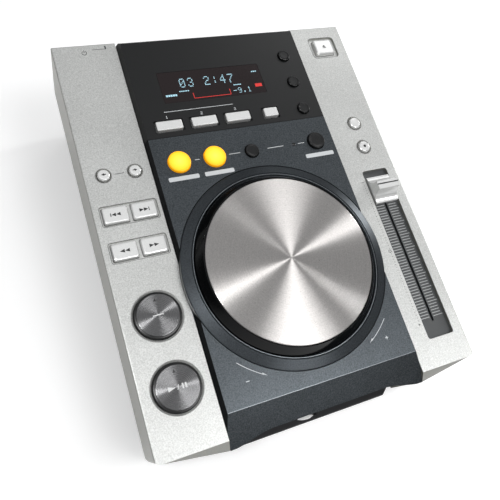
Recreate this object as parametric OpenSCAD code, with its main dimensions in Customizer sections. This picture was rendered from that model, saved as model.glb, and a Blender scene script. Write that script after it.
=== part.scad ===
// Tabletop disc player for a DJ booth: a sloping control deck over a black base tray, with a large jog
// dial, a tempo fader, sprung keys and a slot-in disc drive behind the front fascia.
// Controls are laid out in the deck's own frame: u to the right, v from the front edge towards the back
// along the sloping top face, n square to it. on_deck() places that frame. The rest is in the row frame:
// +X right, +Y back, +Z up, with the table at z = 0.

/* [Case] */
// Width of the case across its top face
case_w = 218; // [214:1:230]
// Length of the sloping top face
top_len = 269; // [265:1:290]
// Height of the top face above the table at its front edge
front_z = 64; // [62:1:72]
// Slope of the top face in degrees
slope = 8; // [6:0.5:9]
// Depth of the silver sides, square to the top face
skirt_h = 46; // [43:0.5:47]
// How far each side leans outwards over its depth
skirt_lean = 0.8; // [0:0.1:1.2]
// Thickness of the case mouldings
wall = 2.5; // [2.2:0.1:2.8]
// Radius of the two front corners, seen from above
front_corner_r = 5; // [3:0.5:6]
// Radius of the two back corners, seen from above
back_corner_r = 2.5; // [1.5:0.5:4]
// Rounding of the long top edges
edge_r = 1; // [0.6:0.1:1.4]
// How far the front walls swell forward next to the nose
prow = 5.6; // [4:0.2:7]
// Angle of the bevel between the top face and the front walls
bevel_angle = 42; // [35:1:50]

/* [Centre block] */
// How far the joint of deck and display housing lies behind the loop keys
split_back = 18.8; // [17:0.2:21]
// Height of the block above the silver sides
block_h = 4.6; // [4:0.1:5.4]
// How far each side wall of the block leans in over its height
block_lean = 2; // [1:0.1:3]
// Place of the crease where the nose starts to fall
crease_v = 13; // [11:0.5:15]
// Fall of the nose face in degrees
nose_angle = 26; // [22:1:30]
// Length of the nose face, measured down its slope
nose_len = 22; // [20:0.5:23]
// How far the lower edge of the nose arches up in the middle
nose_arch = 5; // [2:0.5:6]
// Distance from the back edge of the block to the back of the sides
block_back = 3; // [2:0.5:4]
// Back chamfer of the block
block_chamfer = 2; // [1:0.5:3]
// Width of the display window
window_w = 74.5; // [70:0.5:76]
// Length of the display window
window_d = 24; // [20:0.5:26]
// Centre of the window across the block
window_u = -9.2; // [-12:0.2:-6]

/* [Jog] */
// Place of the jog centre along the deck
jog_v = 89.7; // [88:0.1:91]
// Outer radius of the fixed ring round the dial
ring_r = 68.25; // [67:0.25:69]
// How far the ring reaches over each silver side
ring_over = 1.35; // [0.8:0.05:2]
// Space between the ring and the middle of the loop keys
ring_back = 12.05; // [10.5:0.05:14]
// Width of the fixed ring
ring_w = 8; // [6:0.25:8.5]
// Height of the ring's inner edge above the silver face
ring_top = 7.2; // [6.4:0.1:8]
// Running gap between ring and dial
dial_gap = 0.6; // [0.4:0.1:1]
// Height of the steel plate's top above the silver face
plate_top = 13; // [12:0.25:14.5]
// Width of the dial's sloping flank round the plate
flank_w = 5.05; // [4.4:0.05:9]
// Thickness of the spun steel plate
plate_t = 1.2; // [0.8:0.1:1.5]
// Radius of the jog shaft
shaft_r = 4; // [3:0.25:5]
// Radius of the slotted encoder disc
encoder_r = 22; // [16:1:24]
// Number of slots in the encoder disc
encoder_slots = 24; // [12:4:36]

/* [Keys] */
// How far the left key column stands in from the middle of its side
left_keys_in = 1.05; // [0.4:0.05:2]
// Radius of the cue and play buttons, as a share of their side's width
cue_share = 0.3325; // [0.3:0.0025:0.34]
// Radius of their spun steel caps, as a share of the buttons' own
cue_cap_share = 0.9; // [0.8:0.01:0.92]
// Height of the caps above the silver face
cue_top = 2.6; // [2:0.1:4]
// Place of the play button along the deck
play_v = 35.2; // [34:0.1:37]
// Place of the cue button along the deck
cue_v = 77.5; // [76:0.1:79]
// Silver left on each side of the search and track keys
pair_edge = 4.45; // [4.2:0.05:6]
// Length of one search or track key
pair_key_d = 11.1; // [9:0.1:12]
// Gap between the two keys of a pair
pair_gap = 2.4; // [2.4:0.1:4]
// Width of the pocket that shows round a pair of keys
pair_rim = 1; // [0.8:0.05:1.3]
// Silver between the search and the track keys
pair_row_gap = 12.7; // [8:0.1:15]
// Place of the track keys along the deck
track_v = 144; // [143:0.1:145]
// Distance from the track keys to the folder keys
folder_gap = 27.2; // [24:0.1:30]
// Radius of the folder keys
folder_r = 3.9; // [3:0.05:4.2]
// How far each folder key stands out from the middle of the key in front of it
folder_out = 0.95; // [0:0.05:1.6]
// How far the right keys stand out from the middle of their side
right_keys_out = 2.05; // [1:0.05:3]
// Width of the eject key
eject_w = 15.7; // [13:0.1:16.5]
// Length of the eject key
eject_d = 13; // [11:0.1:14]
// Distance from the middle of the eject key to the back edge
eject_back = 19; // [17:0.5:22]
// Distance from the fader recess to the tempo lock key
lock_gap = 19; // [17:0.5:22]
// Distance from the tempo lock key to the tempo range key
lock_pitch = 20; // [16:0.5:24]
// Radius of the tempo range and tempo lock keys
round_key_r = 4.6; // [4:0.1:5.2]
// Width of an effect bar key
bar_w = 17.7; // [15:0.1:18]
// Width of the hold bar key
hold_w = 10.4; // [9:0.1:11]
// Length of all four bar keys
bar_d = 6.7; // [5.5:0.1:7]
// Distance from the joint of the block to the middle of the bar keys
bar_back = 8.2; // [7.4:0.1:10]
// Distance from the block's left edge to the middle of the first bar key
bar_edge = 18.4; // [17.4:0.1:19]
// Distance between two effect bar keys
bar_pitch = 24.2; // [23:0.1:24.6]
// Distance from the block's right edge to the middle of the mode keys
mode_edge = 15.6; // [14.6:0.1:16.6]
// Radius of the mode keys beside the display
mode_r = 4.4; // [3.5:0.1:4.8]
// Radius of the two lit loop keys
loop_r = 7.4; // [6.5:0.1:7.8]
// Radius of the reloop key
reloop_r = 4.9; // [4:0.1:5.5]
// Radius of the beat loop key
beat_r = 6.3; // [5.5:0.1:6.8]
// Height of the silver keys above the silver face
key_top = 1.4; // [0.9:0.1:2]
// Width of the rounding round the top of the silver keys
key_round = 1.3; // [0.6:0.1:1.6]
// How far every deck key can be pressed
key_travel = 0.8; // [0.5:0.1:0.9]
// Gap between a key and its hole
key_fit = 0.35; // [0.3:0.05:0.4]
// Depth of the shallow pockets round the silver keys
pocket = 1; // [0.6:0.1:1.2]
// Depth of the pocket round the eject key
eject_pocket = 1.6; // [1:0.1:1.7]
// Depth of the bevels round the round key holes
bevel_deep = 0.8; // [0.4:0.1:1]
// Width of the bevel round the cue and play buttons
cue_bevel = 1.3; // [0.6:0.1:1.6]
// Width of the bevel round the small round keys
key_bevel = 0.6; // [0.3:0.1:1]

/* [Tempo fader] */
// Silver between the block and the fader recess
fader_in = 13.4; // [12.4:0.1:15]
// Silver outside the fader recess
fader_out = 8; // [7.4:0.1:9]
// Front end of the recess along the deck
fader_front = 17.2; // [16:0.1:18]
// Length of the recess
fader_len = 125.3; // [124.5:0.1:126]
// Spare length of the recess past the cap's travel
fader_spare = 5.3; // [4:0.1:12]
// Width of the slot for the lever
lever_slot = 1.8; // [1.7:0.05:2.4]
// Where the cap stands, as a share of the stroke from its middle
cap_share = 0.454; // [-0.45:0.001:0.454]
// Space on each side of the cap
cap_gap = 1.1; // [0.6:0.1:1.8]
// Length of the cap's foot
cap_d = 20; // [18:0.1:20.4]
// Length of the cap's blade on top
blade_d = 6.5; // [5:0.1:8]
// Height of the blade above the silver face
cap_top = 9.6; // [8:0.1:11]

/* [Base] */
// Height of the rubber feet
foot_h = 8; // [6:0.5:9]
// Radius of the rubber feet
foot_r = 10; // [8:0.5:12]
// Thickness of the folded steel
steel_t = 1.5; // [1:0.1:1.8]
// How far the base tray's sides stand in from the silver sides
tray_inset = 9; // [8.5:0.1:10]
// How far the back panel stands behind the lower back edge of the sides
rear_out = 3.2; // [2.6:0.1:5]
// How far the phono jacks stand out behind
jack_out = 13; // [11:0.5:14]
// Radius of a phono jack's shell
jack_r = 4.15; // [4:0.05:4.3]

/* [Disc drive] */
// Height of a loaded disc above the table
disc_z = 37; // [36:0.5:38]
// Radius of the discs that the player takes
disc_r = 60; // [58:1:60]
// Place of a loaded disc's centre behind the front edge
disc_y = 82; // [80:0.5:84]
// Height of the disc slot
slot_h = 5.5; // [5:0.1:6.5]
// Radius of the loading roller
roller_r = 4; // [3.5:0.1:4.2]
// Radius of the guide rods
rod_r = 1.5; // [1:0.1:2]
// Running clearance of the small shafts
running = 0.05; // [0.03:0.01:0.08]
// How far the pickup sled stands from the disc centre
sled_at = 30; // [29:0.5:34]

/* [Hidden] */
$fn = 64;
eps = 0.05;      // overlap of a cut past the face that it opens
seam = 0.3;      // gap between neighbouring mouldings
seat = 0.3;      // gap under a piece that is held close

// Deck heights, square to the top face
half_w = case_w / 2;
side_in = ring_r - ring_over;                // inner edge of each silver side
side_w = half_w - side_in;
side_mid = side_in + side_w / 2;
block_half = side_in - seam;                 // half width of the centre block
flange_t = 2;                                // inner flange of each silver side
flange_n = -8;                               // lower edge of the centre block's walls
under_side = -wall;                          // under face of the silver top
under_block = block_h - wall;                // under face of the block's top
key_flange = 1.2;                            // thickness of the rim that keeps a key captive
key_lip = 1;                                 // how far that rim reaches past the hole
switch_h = 3.5;                              // height of a tact switch
side_foot = under_side - seat - key_flange;  // underside of a key in a silver side
block_foot = under_block - seat - key_flange;
side_board_n = side_foot - key_travel - seat - switch_h;
block_board_n = block_foot - key_travel - seat - switch_h;
board_t = 1.6;
front_v = -1;                                // front edge of the flat top face
tray_flange_n = -(skirt_h - 6);              // underside of the tray's flange
post_u = half_w - wall - 3;                  // screw posts in the silver sides
post_r = 3;
pilot_r = 1.3;
screw_clear_r = 1.7;

// Places along the deck
loop_v = jog_v + ring_r + ring_back;
split_v = loop_v + split_back;
housing_back = top_len - block_back;
bar_v = split_v + bar_back;
behind_bars = bar_v + bar_d / 2 + 1.3;       // back edge of the bar keys' pockets
window_v = behind_bars + (housing_back - wall - behind_bars) * 0.3937;
mode_step = (housing_back - bar_v) * 0.3268;
mode_v = [bar_v, bar_v + mode_step, bar_v + 2 * mode_step];
search_v = track_v - pair_key_d - pair_row_gap;
folder_v = track_v + folder_gap;
fader_end = fader_front + fader_len;
lock_v = fader_end + lock_gap;
range_v = lock_v + lock_pitch;
eject_v = top_len - eject_back;
left_posts = [9, (track_v + folder_v) / 2, top_len - 24];
right_posts = [9, (fader_end + lock_v) / 2, top_len - 24];

// Nose of the block
nose_v = crease_v - nose_len * cos(nose_angle);
nose_n = block_h - nose_len * sin(nose_angle);
nose_back = 1.5;
nose_wall_v = 3.6;                           // inner face of the nose's front wall

// Row frame: the nose and the jack tips are the front and back ends, centred on y = 0
nose_reach = -(nose_v * cos(slope) - nose_n * sin(slope));
rear_y = top_len * cos(slope) + skirt_h * sin(slope) + rear_out;
top_y = (nose_reach - rear_y - jack_out) / 2;
floor_z = foot_h + steel_t;
tray_half = half_w - tray_inset;
tray_front = top_y + 8;
panel_in = top_y + rear_y - steel_t;
fascia_front = 5;                            // fascia face behind the top face's front edge
fascia_t = 2.5;

// Jog
ring_in = ring_r - ring_w;
dial_r = ring_in - dial_gap;
plate_r = dial_r - flank_w;                  // radius of the spun steel plate
well_r = ring_in + 0.8;
well_floor = -7;
dial_web = plate_top - plate_t - 2;
hub_r = shaft_r + 5;
hub_n = -3;
bearing_top = -4.6;
bearing_n = -15;
encoder_n = -18;

// Keys
left_u = -(side_mid - left_keys_in);
right_keys_u = side_mid + right_keys_out;
cue_r = side_w * cue_share;
cue_cap_r = cue_r * cue_cap_share;
pair_key_w = (side_w - pair_gap) / 2 - pair_edge;
pair_step = (pair_key_w + pair_gap) / 2;
folder_half = pair_step + folder_out;
dome_top = 1.6;                              // round keys above their own face
lit_top = 1.9;
window_lip = 1.8;
mode_u = block_half - mode_edge;
bar_u = bar_edge - block_half;
hold_u = bar_u + 3 * bar_pitch + 0.6;
loop_in_u = bar_u - 0.7;
loop_out_u = loop_in_u + bar_pitch;
reloop_u = loop_out_u + 26.6;
lamp_u = reloop_u + 31.8;

// Fader
fader_w = side_w - fader_in - fader_out;
fader_u = side_in + fader_in + fader_w / 2;
cap_w = fader_w - 2 * cap_gap;
recess_mid = fader_front + fader_len / 2;
stroke = fader_len - cap_d - fader_spare;
stroke_mid = recess_mid + 1.35;
pot_end = 14;                                // length of the fader's body past the stroke
bed_top = under_side;
bed_t = 1.5;
bed_lip = 2;
cap_foot = bed_top + seat;
lever_t = 1.2;
lever_d = 5;
lever_n = -12;
lever_up = 2;
pot_w = 12;
pot_n = -14;
pot_floor = lever_n - 0.5;
cap_v = stroke_mid + cap_share * stroke;

// Disc drive
drive_y = top_y + disc_y;                    // disc centre
plate_z = disc_z - 12;                       // underside of the drive's deck plate
plate_h = 2;
drive_front = top_y + 10;
drive_back = drive_y + 70;
drive_half = disc_r + 6;
drive_wall = 2;
drive_wall_top = disc_z + 8;
disc_under = disc_z - 0.6;
roller_y = top_y + 17;
roller_z = disc_under - seat - roller_r;
journal_r = 1.5;
rod_x = 20;
rod_z = plate_z - 3;
screw_x = 34;
screw_r = 2;
screw_journal = 1;
block_front = drive_y + 13;
block_t = 4;
block_rear = drive_y + 66;
block_drop = 7;
window_x = 29;
sled_half = 10;
hinge_y = drive_y + 64;
hinge_z = disc_z + 10;
pin_r = 1.5;
ear_x = 31;
ear_t = 3;
arm_half = 30;
arm_t = 2;
puck_r = 14;
puck_z = disc_z + 1;
motor_r = 12;
motor_h = plate_z - floor_z - 2.5;
load_motor_r = 7.5;
feed_motor_r = 6.5;

// Back panel
power_x = 26.5 - tray_half;
power_z = 40;
power_w = 9;
power_out = 5;
phono_x = [-24, -8];
control_x = 12;
jack_z = 30;
phono_hole = 1.6;
inlet_x = tray_half - 38;
inlet_z = 30;
inlet_w = 22;
inlet_h = 14;
socket_w = 17;
socket_h = 9;
socket_d = 10;
main_z = floor_z + 6.5;
main_left = 66 - tray_half;
main_right = tray_half - 6;
main_front = drive_y + 98;
main_back = panel_in - 8;
main_d = main_back - main_front;

function deck_y(v, n) = top_y + v * cos(slope) - n * sin(slope);
// Height, at the place y, of the plane that runs n above the top face
function plane_z(y, n) = front_z + ((y - top_y) * sin(slope) + n) / cos(slope);
function arc(cx, cy, r, from, to, steps) =
    [for (i = [0:steps]) let (a = from + (to - from) * i / steps) [cx + r * cos(a), cy + r * sin(a)]];

module on_deck() {
    translate([0, top_y, front_z]) rotate([slope, 0, 0]) children();
}

// An outline in (u, n), drawn along v
module along_v(from, to) {
    translate([0, to, 0]) rotate([90, 0, 0]) linear_extrude(to - from) children();
}

// An outline in (v, n), or (y, z), drawn along u from one side to the other
module along_u(from, to) {
    translate([from, 0, 0]) rotate([90, 0, 90]) linear_extrude(to - from) children();
}

module rounded(w, d, r) {
    square([w - 2 * r, d], center = true);
    square([w, d - 2 * r], center = true);
    for (x = [-1, 1], y = [-1, 1]) translate([x * (w / 2 - r), y * (d / 2 - r)]) circle(r);
}

module slab(w, d, r, from, to) {
    translate([0, 0, from]) linear_extrude(to - from) rounded(w, d, r);
}

module disc(r, from, to) {
    translate([0, 0, from]) cylinder(r = r, h = to - from);
}

module block(x, y, z) {
    translate([x[0], y[0], z[0]]) cube([x[1] - x[0], y[1] - y[0], z[1] - z[0]]);
}

// ---- Keys ----

// A rectangular key: rounded top edge, straight body and the rim that keeps it captive
module bar_key(w, d, r, foot, top, ease = key_round) {
    hull() for (a = [0, 30, 60, 90]) {
        inset = ease * (1 - cos(a));
        slab(w - 2 * inset, d - 2 * inset, r, foot, top - ease * (1 - sin(a)), $fn = 24);
    }
    slab(w + 2 * key_lip, d + 2 * key_lip, r, foot, foot + key_flange, $fn = 24);
}

// A round key with a rounded top edge, or a dished one where dish is more than 0
module round_key(r, foot, top, ease = 0.8, dish = 0) {
    rotate_extrude() polygon(concat(
        [[0, foot], [r + key_lip, foot], [r + key_lip, foot + key_flange], [r, foot + key_flange]],
        arc(r - ease, top - ease, ease, 0, 90, 4),
        dish > 0 ? [[r * 0.62, top - dish * 0.8], [0, top - dish]] : [[0, top + 0.15]]
    ));
}

module key_place(u, v) {
    translate([u, v, 0]) children();
}

// Bevel of the silver face round a key hole
module hole_bevel(r, out) {
    translate([0, 0, -bevel_deep])
        cylinder(r1 = r + key_fit, r2 = r + key_fit + out, h = bevel_deep + eps);
}

module round_hole(u, v, r, from, to) {
    key_place(u, v) disc(r + key_fit, from, to);
}

module bar_hole(u, v, w, d, r, from, to) {
    key_place(u, v) slab(w + 2 * key_fit, d + 2 * key_fit, r, from, to);
}

module tact_switch(u, v, board_n) {
    key_place(u, v) block([-3, 3], [-3, 3], [board_n, board_n + switch_h]);
}

// ---- Silver sides ----

// Outer form of the left side; the right side is its mirror
module side_form() {
    intersection() {
        along_v(-20, top_len + 1) polygon(concat(
            [[-side_in, 0]],
            arc(-half_w + edge_r, -edge_r, edge_r, 90, 180, 4),
            [[-half_w - skirt_lean, -skirt_h], [-side_in, -skirt_h]]
        ));
        along_u(-half_w - 5, -side_in) polygon(concat(
            [[front_v, 0], [front_v - 20, -20 * tan(bevel_angle)], [front_v - 20, -skirt_h - 1],
             [top_len, -skirt_h - 1]],
            arc(top_len - edge_r, -edge_r, edge_r, 0, 90, 4)
        ));
        translate([0, 0, -skirt_h - 2]) linear_extrude(skirt_h + 4) polygon(concat(
            [[-side_in, front_v - prow], [-side_in, top_len]],
            arc(-half_w - skirt_lean + back_corner_r, top_len - back_corner_r, back_corner_r, 90, 180, 5),
            arc(-half_w - skirt_lean + front_corner_r, front_v + front_corner_r, front_corner_r,
                180, 270, 6)
        ));
    }
}

// Hollow shell of one side with its deck ledges and screw posts
module side_shell(posts) {
    inner = -half_w + wall;
    difference() {
        side_form();
        block([inner, -side_in - flange_t], [1.5, top_len - wall], [-skirt_h - 1, under_side]);
        block([inner, -side_in + 1], [1.5, top_len - wall], [-skirt_h - 1, flange_n - 2]);
        translate([0, jog_v, -0.5 - seat]) cylinder(r = ring_r + seam, h = 10);
    }
    for (span = [[9, 22], [jog_v + ring_r + 2, top_len - 8]])
        block([-side_in - flange_t, -side_in + 6], span, [flange_n - 2, flange_n]);
    for (v = posts) difference() {
        union() {
            key_place(-post_u, v) disc(post_r, tray_flange_n + steel_t, under_side);
            block([inner - eps, -post_u], [v - 1, v + 1], [tray_flange_n + steel_t, under_side]);
        }
        key_place(-post_u, v) disc(pilot_r, tray_flange_n, tray_flange_n + 14);
    }
}

// A stud from a top face's underside down to a board
module board_stud(u, v, board_n, under) {
    key_place(u, v) disc(3, board_n, under);
}

module left_cover() {
    color("#c4c5c4") on_deck() difference() {
        union() {
            side_shell(left_posts);
            for (v = [(play_v + cue_v) / 2, (cue_v + search_v) / 2 + 4, folder_v + 13])
                board_stud(left_u, v, side_board_n, under_side);
        }
        for (v = [play_v, cue_v]) key_place(left_u, v) {
            disc(cue_r + key_fit, -20, 5);
            hole_bevel(cue_r, cue_bevel);
        }
        for (v = [search_v, track_v]) {
            key_place(left_u, v) slab(2 * (pair_key_w + pair_rim) + pair_gap,
                pair_key_d + 2 * pair_rim, 1.6, -pocket, 1);
            for (s = [-1, 1])
                bar_hole(left_u + s * pair_step, v, pair_key_w, pair_key_d, 1.2, -6, 1);
        }
        for (s = [-1, 1]) key_place(left_u + s * folder_half, folder_v) {
            disc(folder_r + key_fit, -6, 1);
            hole_bevel(folder_r, key_bevel);
        }
    }
}

module right_cover() {
    stud_step = (eject_v - range_v) * 0.292;
    color("#c4c5c4") on_deck() difference() {
        union() {
            mirror([1, 0, 0]) side_shell(right_posts);
            for (v = [(lock_v + range_v) / 2, range_v + stud_step, eject_v - stud_step])
                board_stud(right_keys_u + (v < range_v ? -6.5 : 0), v, side_board_n, under_side);
        }
        key_place(fader_u, recess_mid) slab(fader_w, fader_len, 2, -10, 1);
        key_place(right_keys_u, eject_v) slab(eject_w + 6, eject_d + 5, 3, -eject_pocket, 1);
        bar_hole(right_keys_u, eject_v, eject_w, eject_d, 1.5, -6, 1);
        for (v = [lock_v, range_v]) key_place(right_keys_u, v) {
            disc(round_key_r + key_fit, -6, 1);
            hole_bevel(round_key_r, key_bevel);
        }
    }
}

// ---- Centre block ----

// Cross-section of the block over its whole width
module block_section() {
    polygon([
        [-block_half, flange_n - 40], [-block_half, 0], [-block_half + block_lean, block_h],
        [block_half - block_lean, block_h], [block_half, 0], [block_half, flange_n - 40]
    ]);
}

// Straight lower edge of the nose at its ends, arched up between them
module nose_arch_cut() {
    steps = 24;
    reach = block_half + 1;
    translate([0, crease_v, block_h]) rotate([nose_angle, 0, 0]) translate([0, 0, -9])
        linear_extrude(20) polygon(concat(
            [[reach, -nose_len - 10], [-reach, -nose_len - 10]],
            [for (i = [0:steps])
                let (u = -reach + 2 * reach * i / steps,
                     t = min(1, max(0, (block_half - 1 - abs(u)) / 26)))
                [u, -nose_len - eps + nose_arch * (3 * t * t - 2 * t * t * t)]]
        ));
}

module center_deck() {
    inner_half = block_half - block_lean - 2.3;
    back = split_v - seam / 2;
    color("#4a4f54") on_deck() difference() {
        union() {
            difference() {
                intersection() {
                    along_v(nose_v - 1, back) block_section();
                    along_u(-block_half - 1, block_half + 1) polygon([
                        [back, block_h], [crease_v, block_h], [nose_v, nose_n],
                        [nose_v + nose_back, flange_n], [back, flange_n]
                    ]);
                }
                along_u(-inner_half, inner_half) polygon([
                    [nose_wall_v, flange_n - 1],
                    [nose_wall_v, block_h - (crease_v - nose_wall_v) * tan(nose_angle) - 2.8],
                    [crease_v + 1, under_block], [back + 1, under_block], [back + 1, flange_n - 1]
                ]);
            }
            key_place(0, jog_v) disc(well_r + 2, well_floor - 2, under_block + eps);
            key_place(0, jog_v) intersection() {
                disc(ring_r - 1, -2.5, -0.5);
                block([-block_half, block_half], [-ring_r, ring_r], [-3, 0]);
            }
            for (u = [-40, 40]) board_stud(u, back - 8, block_board_n, under_block + eps);
        }
        key_place(0, jog_v) disc(well_r, well_floor, 20);
        key_place(0, jog_v) disc(ring_r + seam, -0.5, 20);
        key_place(0, jog_v) disc(shaft_r + 4.1, -20, 0);
        nose_arch_cut();
        for (u = [loop_in_u, loop_out_u]) round_hole(u, loop_v, loop_r, -10, 10);
        round_hole(reloop_u, loop_v, reloop_r, -10, 10);
        round_hole(mode_u, loop_v, beat_r, -10, 10);
        key_place(lamp_u, loop_v) disc(1.3, 0, 10);
    }
}

module display_housing() {
    inner_half = block_half - block_lean - 2.3;
    front = split_v + seam / 2;
    back = housing_back;
    color("#1d1f21") on_deck() difference() {
        union() {
            difference() {
                intersection() {
                    along_v(front, back) block_section();
                    along_u(-block_half - 1, block_half + 1) polygon([
                        [front, block_h], [back - block_chamfer, block_h],
                        [back, block_h - block_chamfer], [back, -skirt_h], [back - wall, -skirt_h],
                        [back - wall, flange_n], [front, flange_n]
                    ]);
                }
                block([-inner_half, inner_half], [front - 1, back - wall], [flange_n - 1, under_block]);
            }
            for (u = [6.3 - inner_half, inner_half - 5.3])
                board_stud(u, back - 7, block_board_n, under_block + eps);
        }
        key_place(window_u, window_v) slab(window_w + 0.3, window_d + 0.3, 1, -5, 10);
        for (i = [0:2]) {
            key_place(bar_u + i * bar_pitch, bar_v) slab(bar_w + 2.4, bar_d + 2.6, 1, block_h - pocket, 9);
            bar_hole(bar_u + i * bar_pitch, bar_v, bar_w, bar_d, 0.9, -5, 9);
        }
        key_place(hold_u, bar_v) slab(hold_w + 2.4, bar_d + 2.6, 1, block_h - pocket, 9);
        bar_hole(hold_u, bar_v, hold_w, bar_d, 0.9, -5, 9);
        for (v = mode_v) round_hole(mode_u, v, mode_r, -5, 9);
    }
}

module display_window() {
    color("#2a1416") on_deck() key_place(window_u, window_v) {
        slab(window_w, window_d, 0.9, under_block - 1.5, block_h - 0.1);
        slab(window_w + 2 * window_lip, window_d + 2 * window_lip, 1, under_block - 1.5, under_block);
    }
}

module display_module() {
    color("#3a4a44") on_deck() key_place(window_u, window_v) {
        block([-window_w / 2 - 1, window_w / 2 + 1], [-window_d / 2 - 1, window_d / 2 + 1],
              [block_board_n, under_block - 1.5 - seat]);
        for (u = [-1, 1]) block([u * 30 - 4, u * 30 + 4], [window_d / 2 + 0.9, window_d / 2 + 4],
              [block_board_n, block_board_n + 2]);
    }
}

// ---- Jog ----

module jog_ring() {
    color("#3b3f42") on_deck() key_place(0, jog_v) rotate_extrude($fn = 128) polygon([
        [ring_in, -0.5], [ring_r, -0.5], [ring_r, block_h - 0.5], [ring_r - 0.15, block_h - 0.1],
        [ring_r - 0.6, block_h + 0.15],
        [ring_in + 1.6, ring_top], [ring_in + 1.2, ring_top - 0.6], [ring_in + 0.8, ring_top - 0.1],
        [ring_in + 0.3, ring_top - 0.1], [ring_in, ring_top - 0.4]
    ]);
}

module jog_dial() {
    web_top = plate_top - plate_t;
    color("#121314") on_deck() key_place(0, jog_v) rotate_extrude($fn = 128) polygon([
        [dial_r - 2.2, -4], [dial_r, -4], [dial_r, ring_top], [plate_r + 0.9, plate_top - 0.2],
        [plate_r + 0.25, plate_top - 0.2], [plate_r + 0.25, web_top], [shaft_r + running, web_top],
        [shaft_r + running, hub_n], [hub_r, hub_n], [hub_r, dial_web], [plate_r - 2.4, dial_web],
        [dial_r - 2.2, ring_top - 1.4]
    ]);
}

module jog_plate() {
    web_top = plate_top - plate_t;
    color("#b9b7b5") on_deck() key_place(0, jog_v) rotate_extrude($fn = 128) polygon([
        [0, web_top], [plate_r, web_top], [plate_r, plate_top - 0.45], [plate_r - 0.15, plate_top - 0.15],
        [plate_r - 0.5, plate_top], [1.2, plate_top], [0, plate_top - 0.1]
    ]);
}

module jog_shaft() {
    color("#8d9094") on_deck() key_place(0, jog_v) {
        disc(shaft_r, encoder_n - 1, plate_top - plate_t - 0.2);
        difference() {
            disc(encoder_r, encoder_n, encoder_n + 1);
            for (i = [0:encoder_slots - 1]) rotate(i * 360 / encoder_slots)
                block([encoder_r - 5, encoder_r - 1], [-0.7, 0.7], [encoder_n - 1, encoder_n + 2]);
        }
    }
}

module jog_bearing() {
    color("#6f7275") on_deck() key_place(0, jog_v) difference() {
        union() {
            disc(shaft_r + 4, bearing_n, bearing_top);
            disc(shaft_r + 12, well_floor, bearing_top - 0.4);
        }
        disc(shaft_r + running, bearing_n - 1, bearing_top + 1);
    }
}

// ---- Buttons and keys in place ----

// Black skirt of the cue or play button, dished on top to take its steel cap
module big_button(v) {
    color("#161718") on_deck() key_place(left_u, v) rotate_extrude() polygon([
        [0, side_foot], [cue_r + key_lip, side_foot], [cue_r + key_lip, side_foot + key_flange],
        [cue_r, side_foot + key_flange], [cue_r, cue_top - 1.3], [cue_r - 0.4, cue_top - 0.7],
        [cue_cap_r + 0.1, cue_top - 0.5], [cue_cap_r + 0.1, cue_top - 1.2], [0, cue_top - 1.2]
    ]);
}

module big_cap(v) {
    color("#77787a") on_deck() key_place(left_u, v) rotate_extrude($fn = 96) polygon([
        [0, cue_top - 1.2], [cue_cap_r, cue_top - 1.2], [cue_cap_r, cue_top - 0.25],
        [cue_cap_r - 0.2, cue_top - 0.05], [cue_cap_r - 0.45, cue_top], [0.8, cue_top],
        [0, cue_top - 0.08]
    ]);
}

module cue_button() { big_button(cue_v); }
module cue_cap() { big_cap(cue_v); }
module play_button() { big_button(play_v); }
module play_cap() { big_cap(play_v); }

module pair_key(side, v) {
    color("#d4d5d4") on_deck() key_place(left_u + side * pair_step, v)
        bar_key(pair_key_w, pair_key_d, 1.2, side_foot, key_top);
}

module search_back_key() { pair_key(-1, search_v); }
module search_ahead_key() { pair_key(1, search_v); }
module track_back_key() { pair_key(-1, track_v); }
module track_ahead_key() { pair_key(1, track_v); }

module folder_key(side) {
    color("#d0d1d0") on_deck() key_place(left_u + side * folder_half, folder_v)
        round_key(folder_r, side_foot, key_top + 0.3, key_round - 0.2);
}

module folder_back_key() { folder_key(-1); }
module folder_ahead_key() { folder_key(1); }

module eject_key() {
    color("#d4d5d4") on_deck() key_place(right_keys_u, eject_v)
        bar_key(eject_w, eject_d, 1.5, side_foot, key_top);
}

module right_round_key(v) {
    color("#d0d1d0") on_deck() key_place(right_keys_u, v)
        round_key(round_key_r, side_foot, key_top + 0.2, key_round + 0.2);
}

module range_key() { right_round_key(range_v); }
module tempo_lock_key() { right_round_key(lock_v); }

module effect_key(u, w) {
    color("#dcdddc") on_deck() key_place(u, bar_v)
        bar_key(w, bar_d, 0.9, block_foot, block_h + dome_top, key_round / 2);
}

module effect_key_a() { effect_key(bar_u, bar_w); }
module effect_key_b() { effect_key(bar_u + bar_pitch, bar_w); }
module effect_key_c() { effect_key(bar_u + 2 * bar_pitch, bar_w); }
module hold_key() { effect_key(hold_u, hold_w); }

module deck_key(u, v, r, top, shade, dish = 0) {
    color(shade) on_deck() key_place(u, v) round_key(r, block_foot, block_h + top, 0.8, dish);
}

module auto_cue_key() { deck_key(mode_u, mode_v[0], mode_r, dome_top, "#151617", 0.3); }
module time_key() { deck_key(mode_u, mode_v[1], mode_r, dome_top, "#151617", 0.3); }
module text_key() { deck_key(mode_u, mode_v[2], mode_r, dome_top, "#151617", 0.3); }
module loop_in_key() { deck_key(loop_in_u, loop_v, loop_r, lit_top, "#ffc52a"); }
module loop_out_key() { deck_key(loop_out_u, loop_v, loop_r, lit_top, "#ffc52a"); }
module reloop_key() { deck_key(reloop_u, loop_v, reloop_r, dome_top, "#151617", 0.3); }
module beat_loop_key() { deck_key(mode_u, loop_v, beat_r, lit_top, "#151617", 0.4); }

// ---- Tempo fader ----

module fader_bed() {
    color("#585a5a") on_deck() difference() {
        key_place(fader_u, recess_mid) slab(fader_w + 2 * bed_lip, fader_len + 2 * bed_lip, 2,
            bed_top - bed_t, bed_top);
        key_place(fader_u, stroke_mid) slab(lever_slot, stroke + lever_d + 1.2, lever_slot / 2 - 0.1,
            -10, 0);
    }
}

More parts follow.
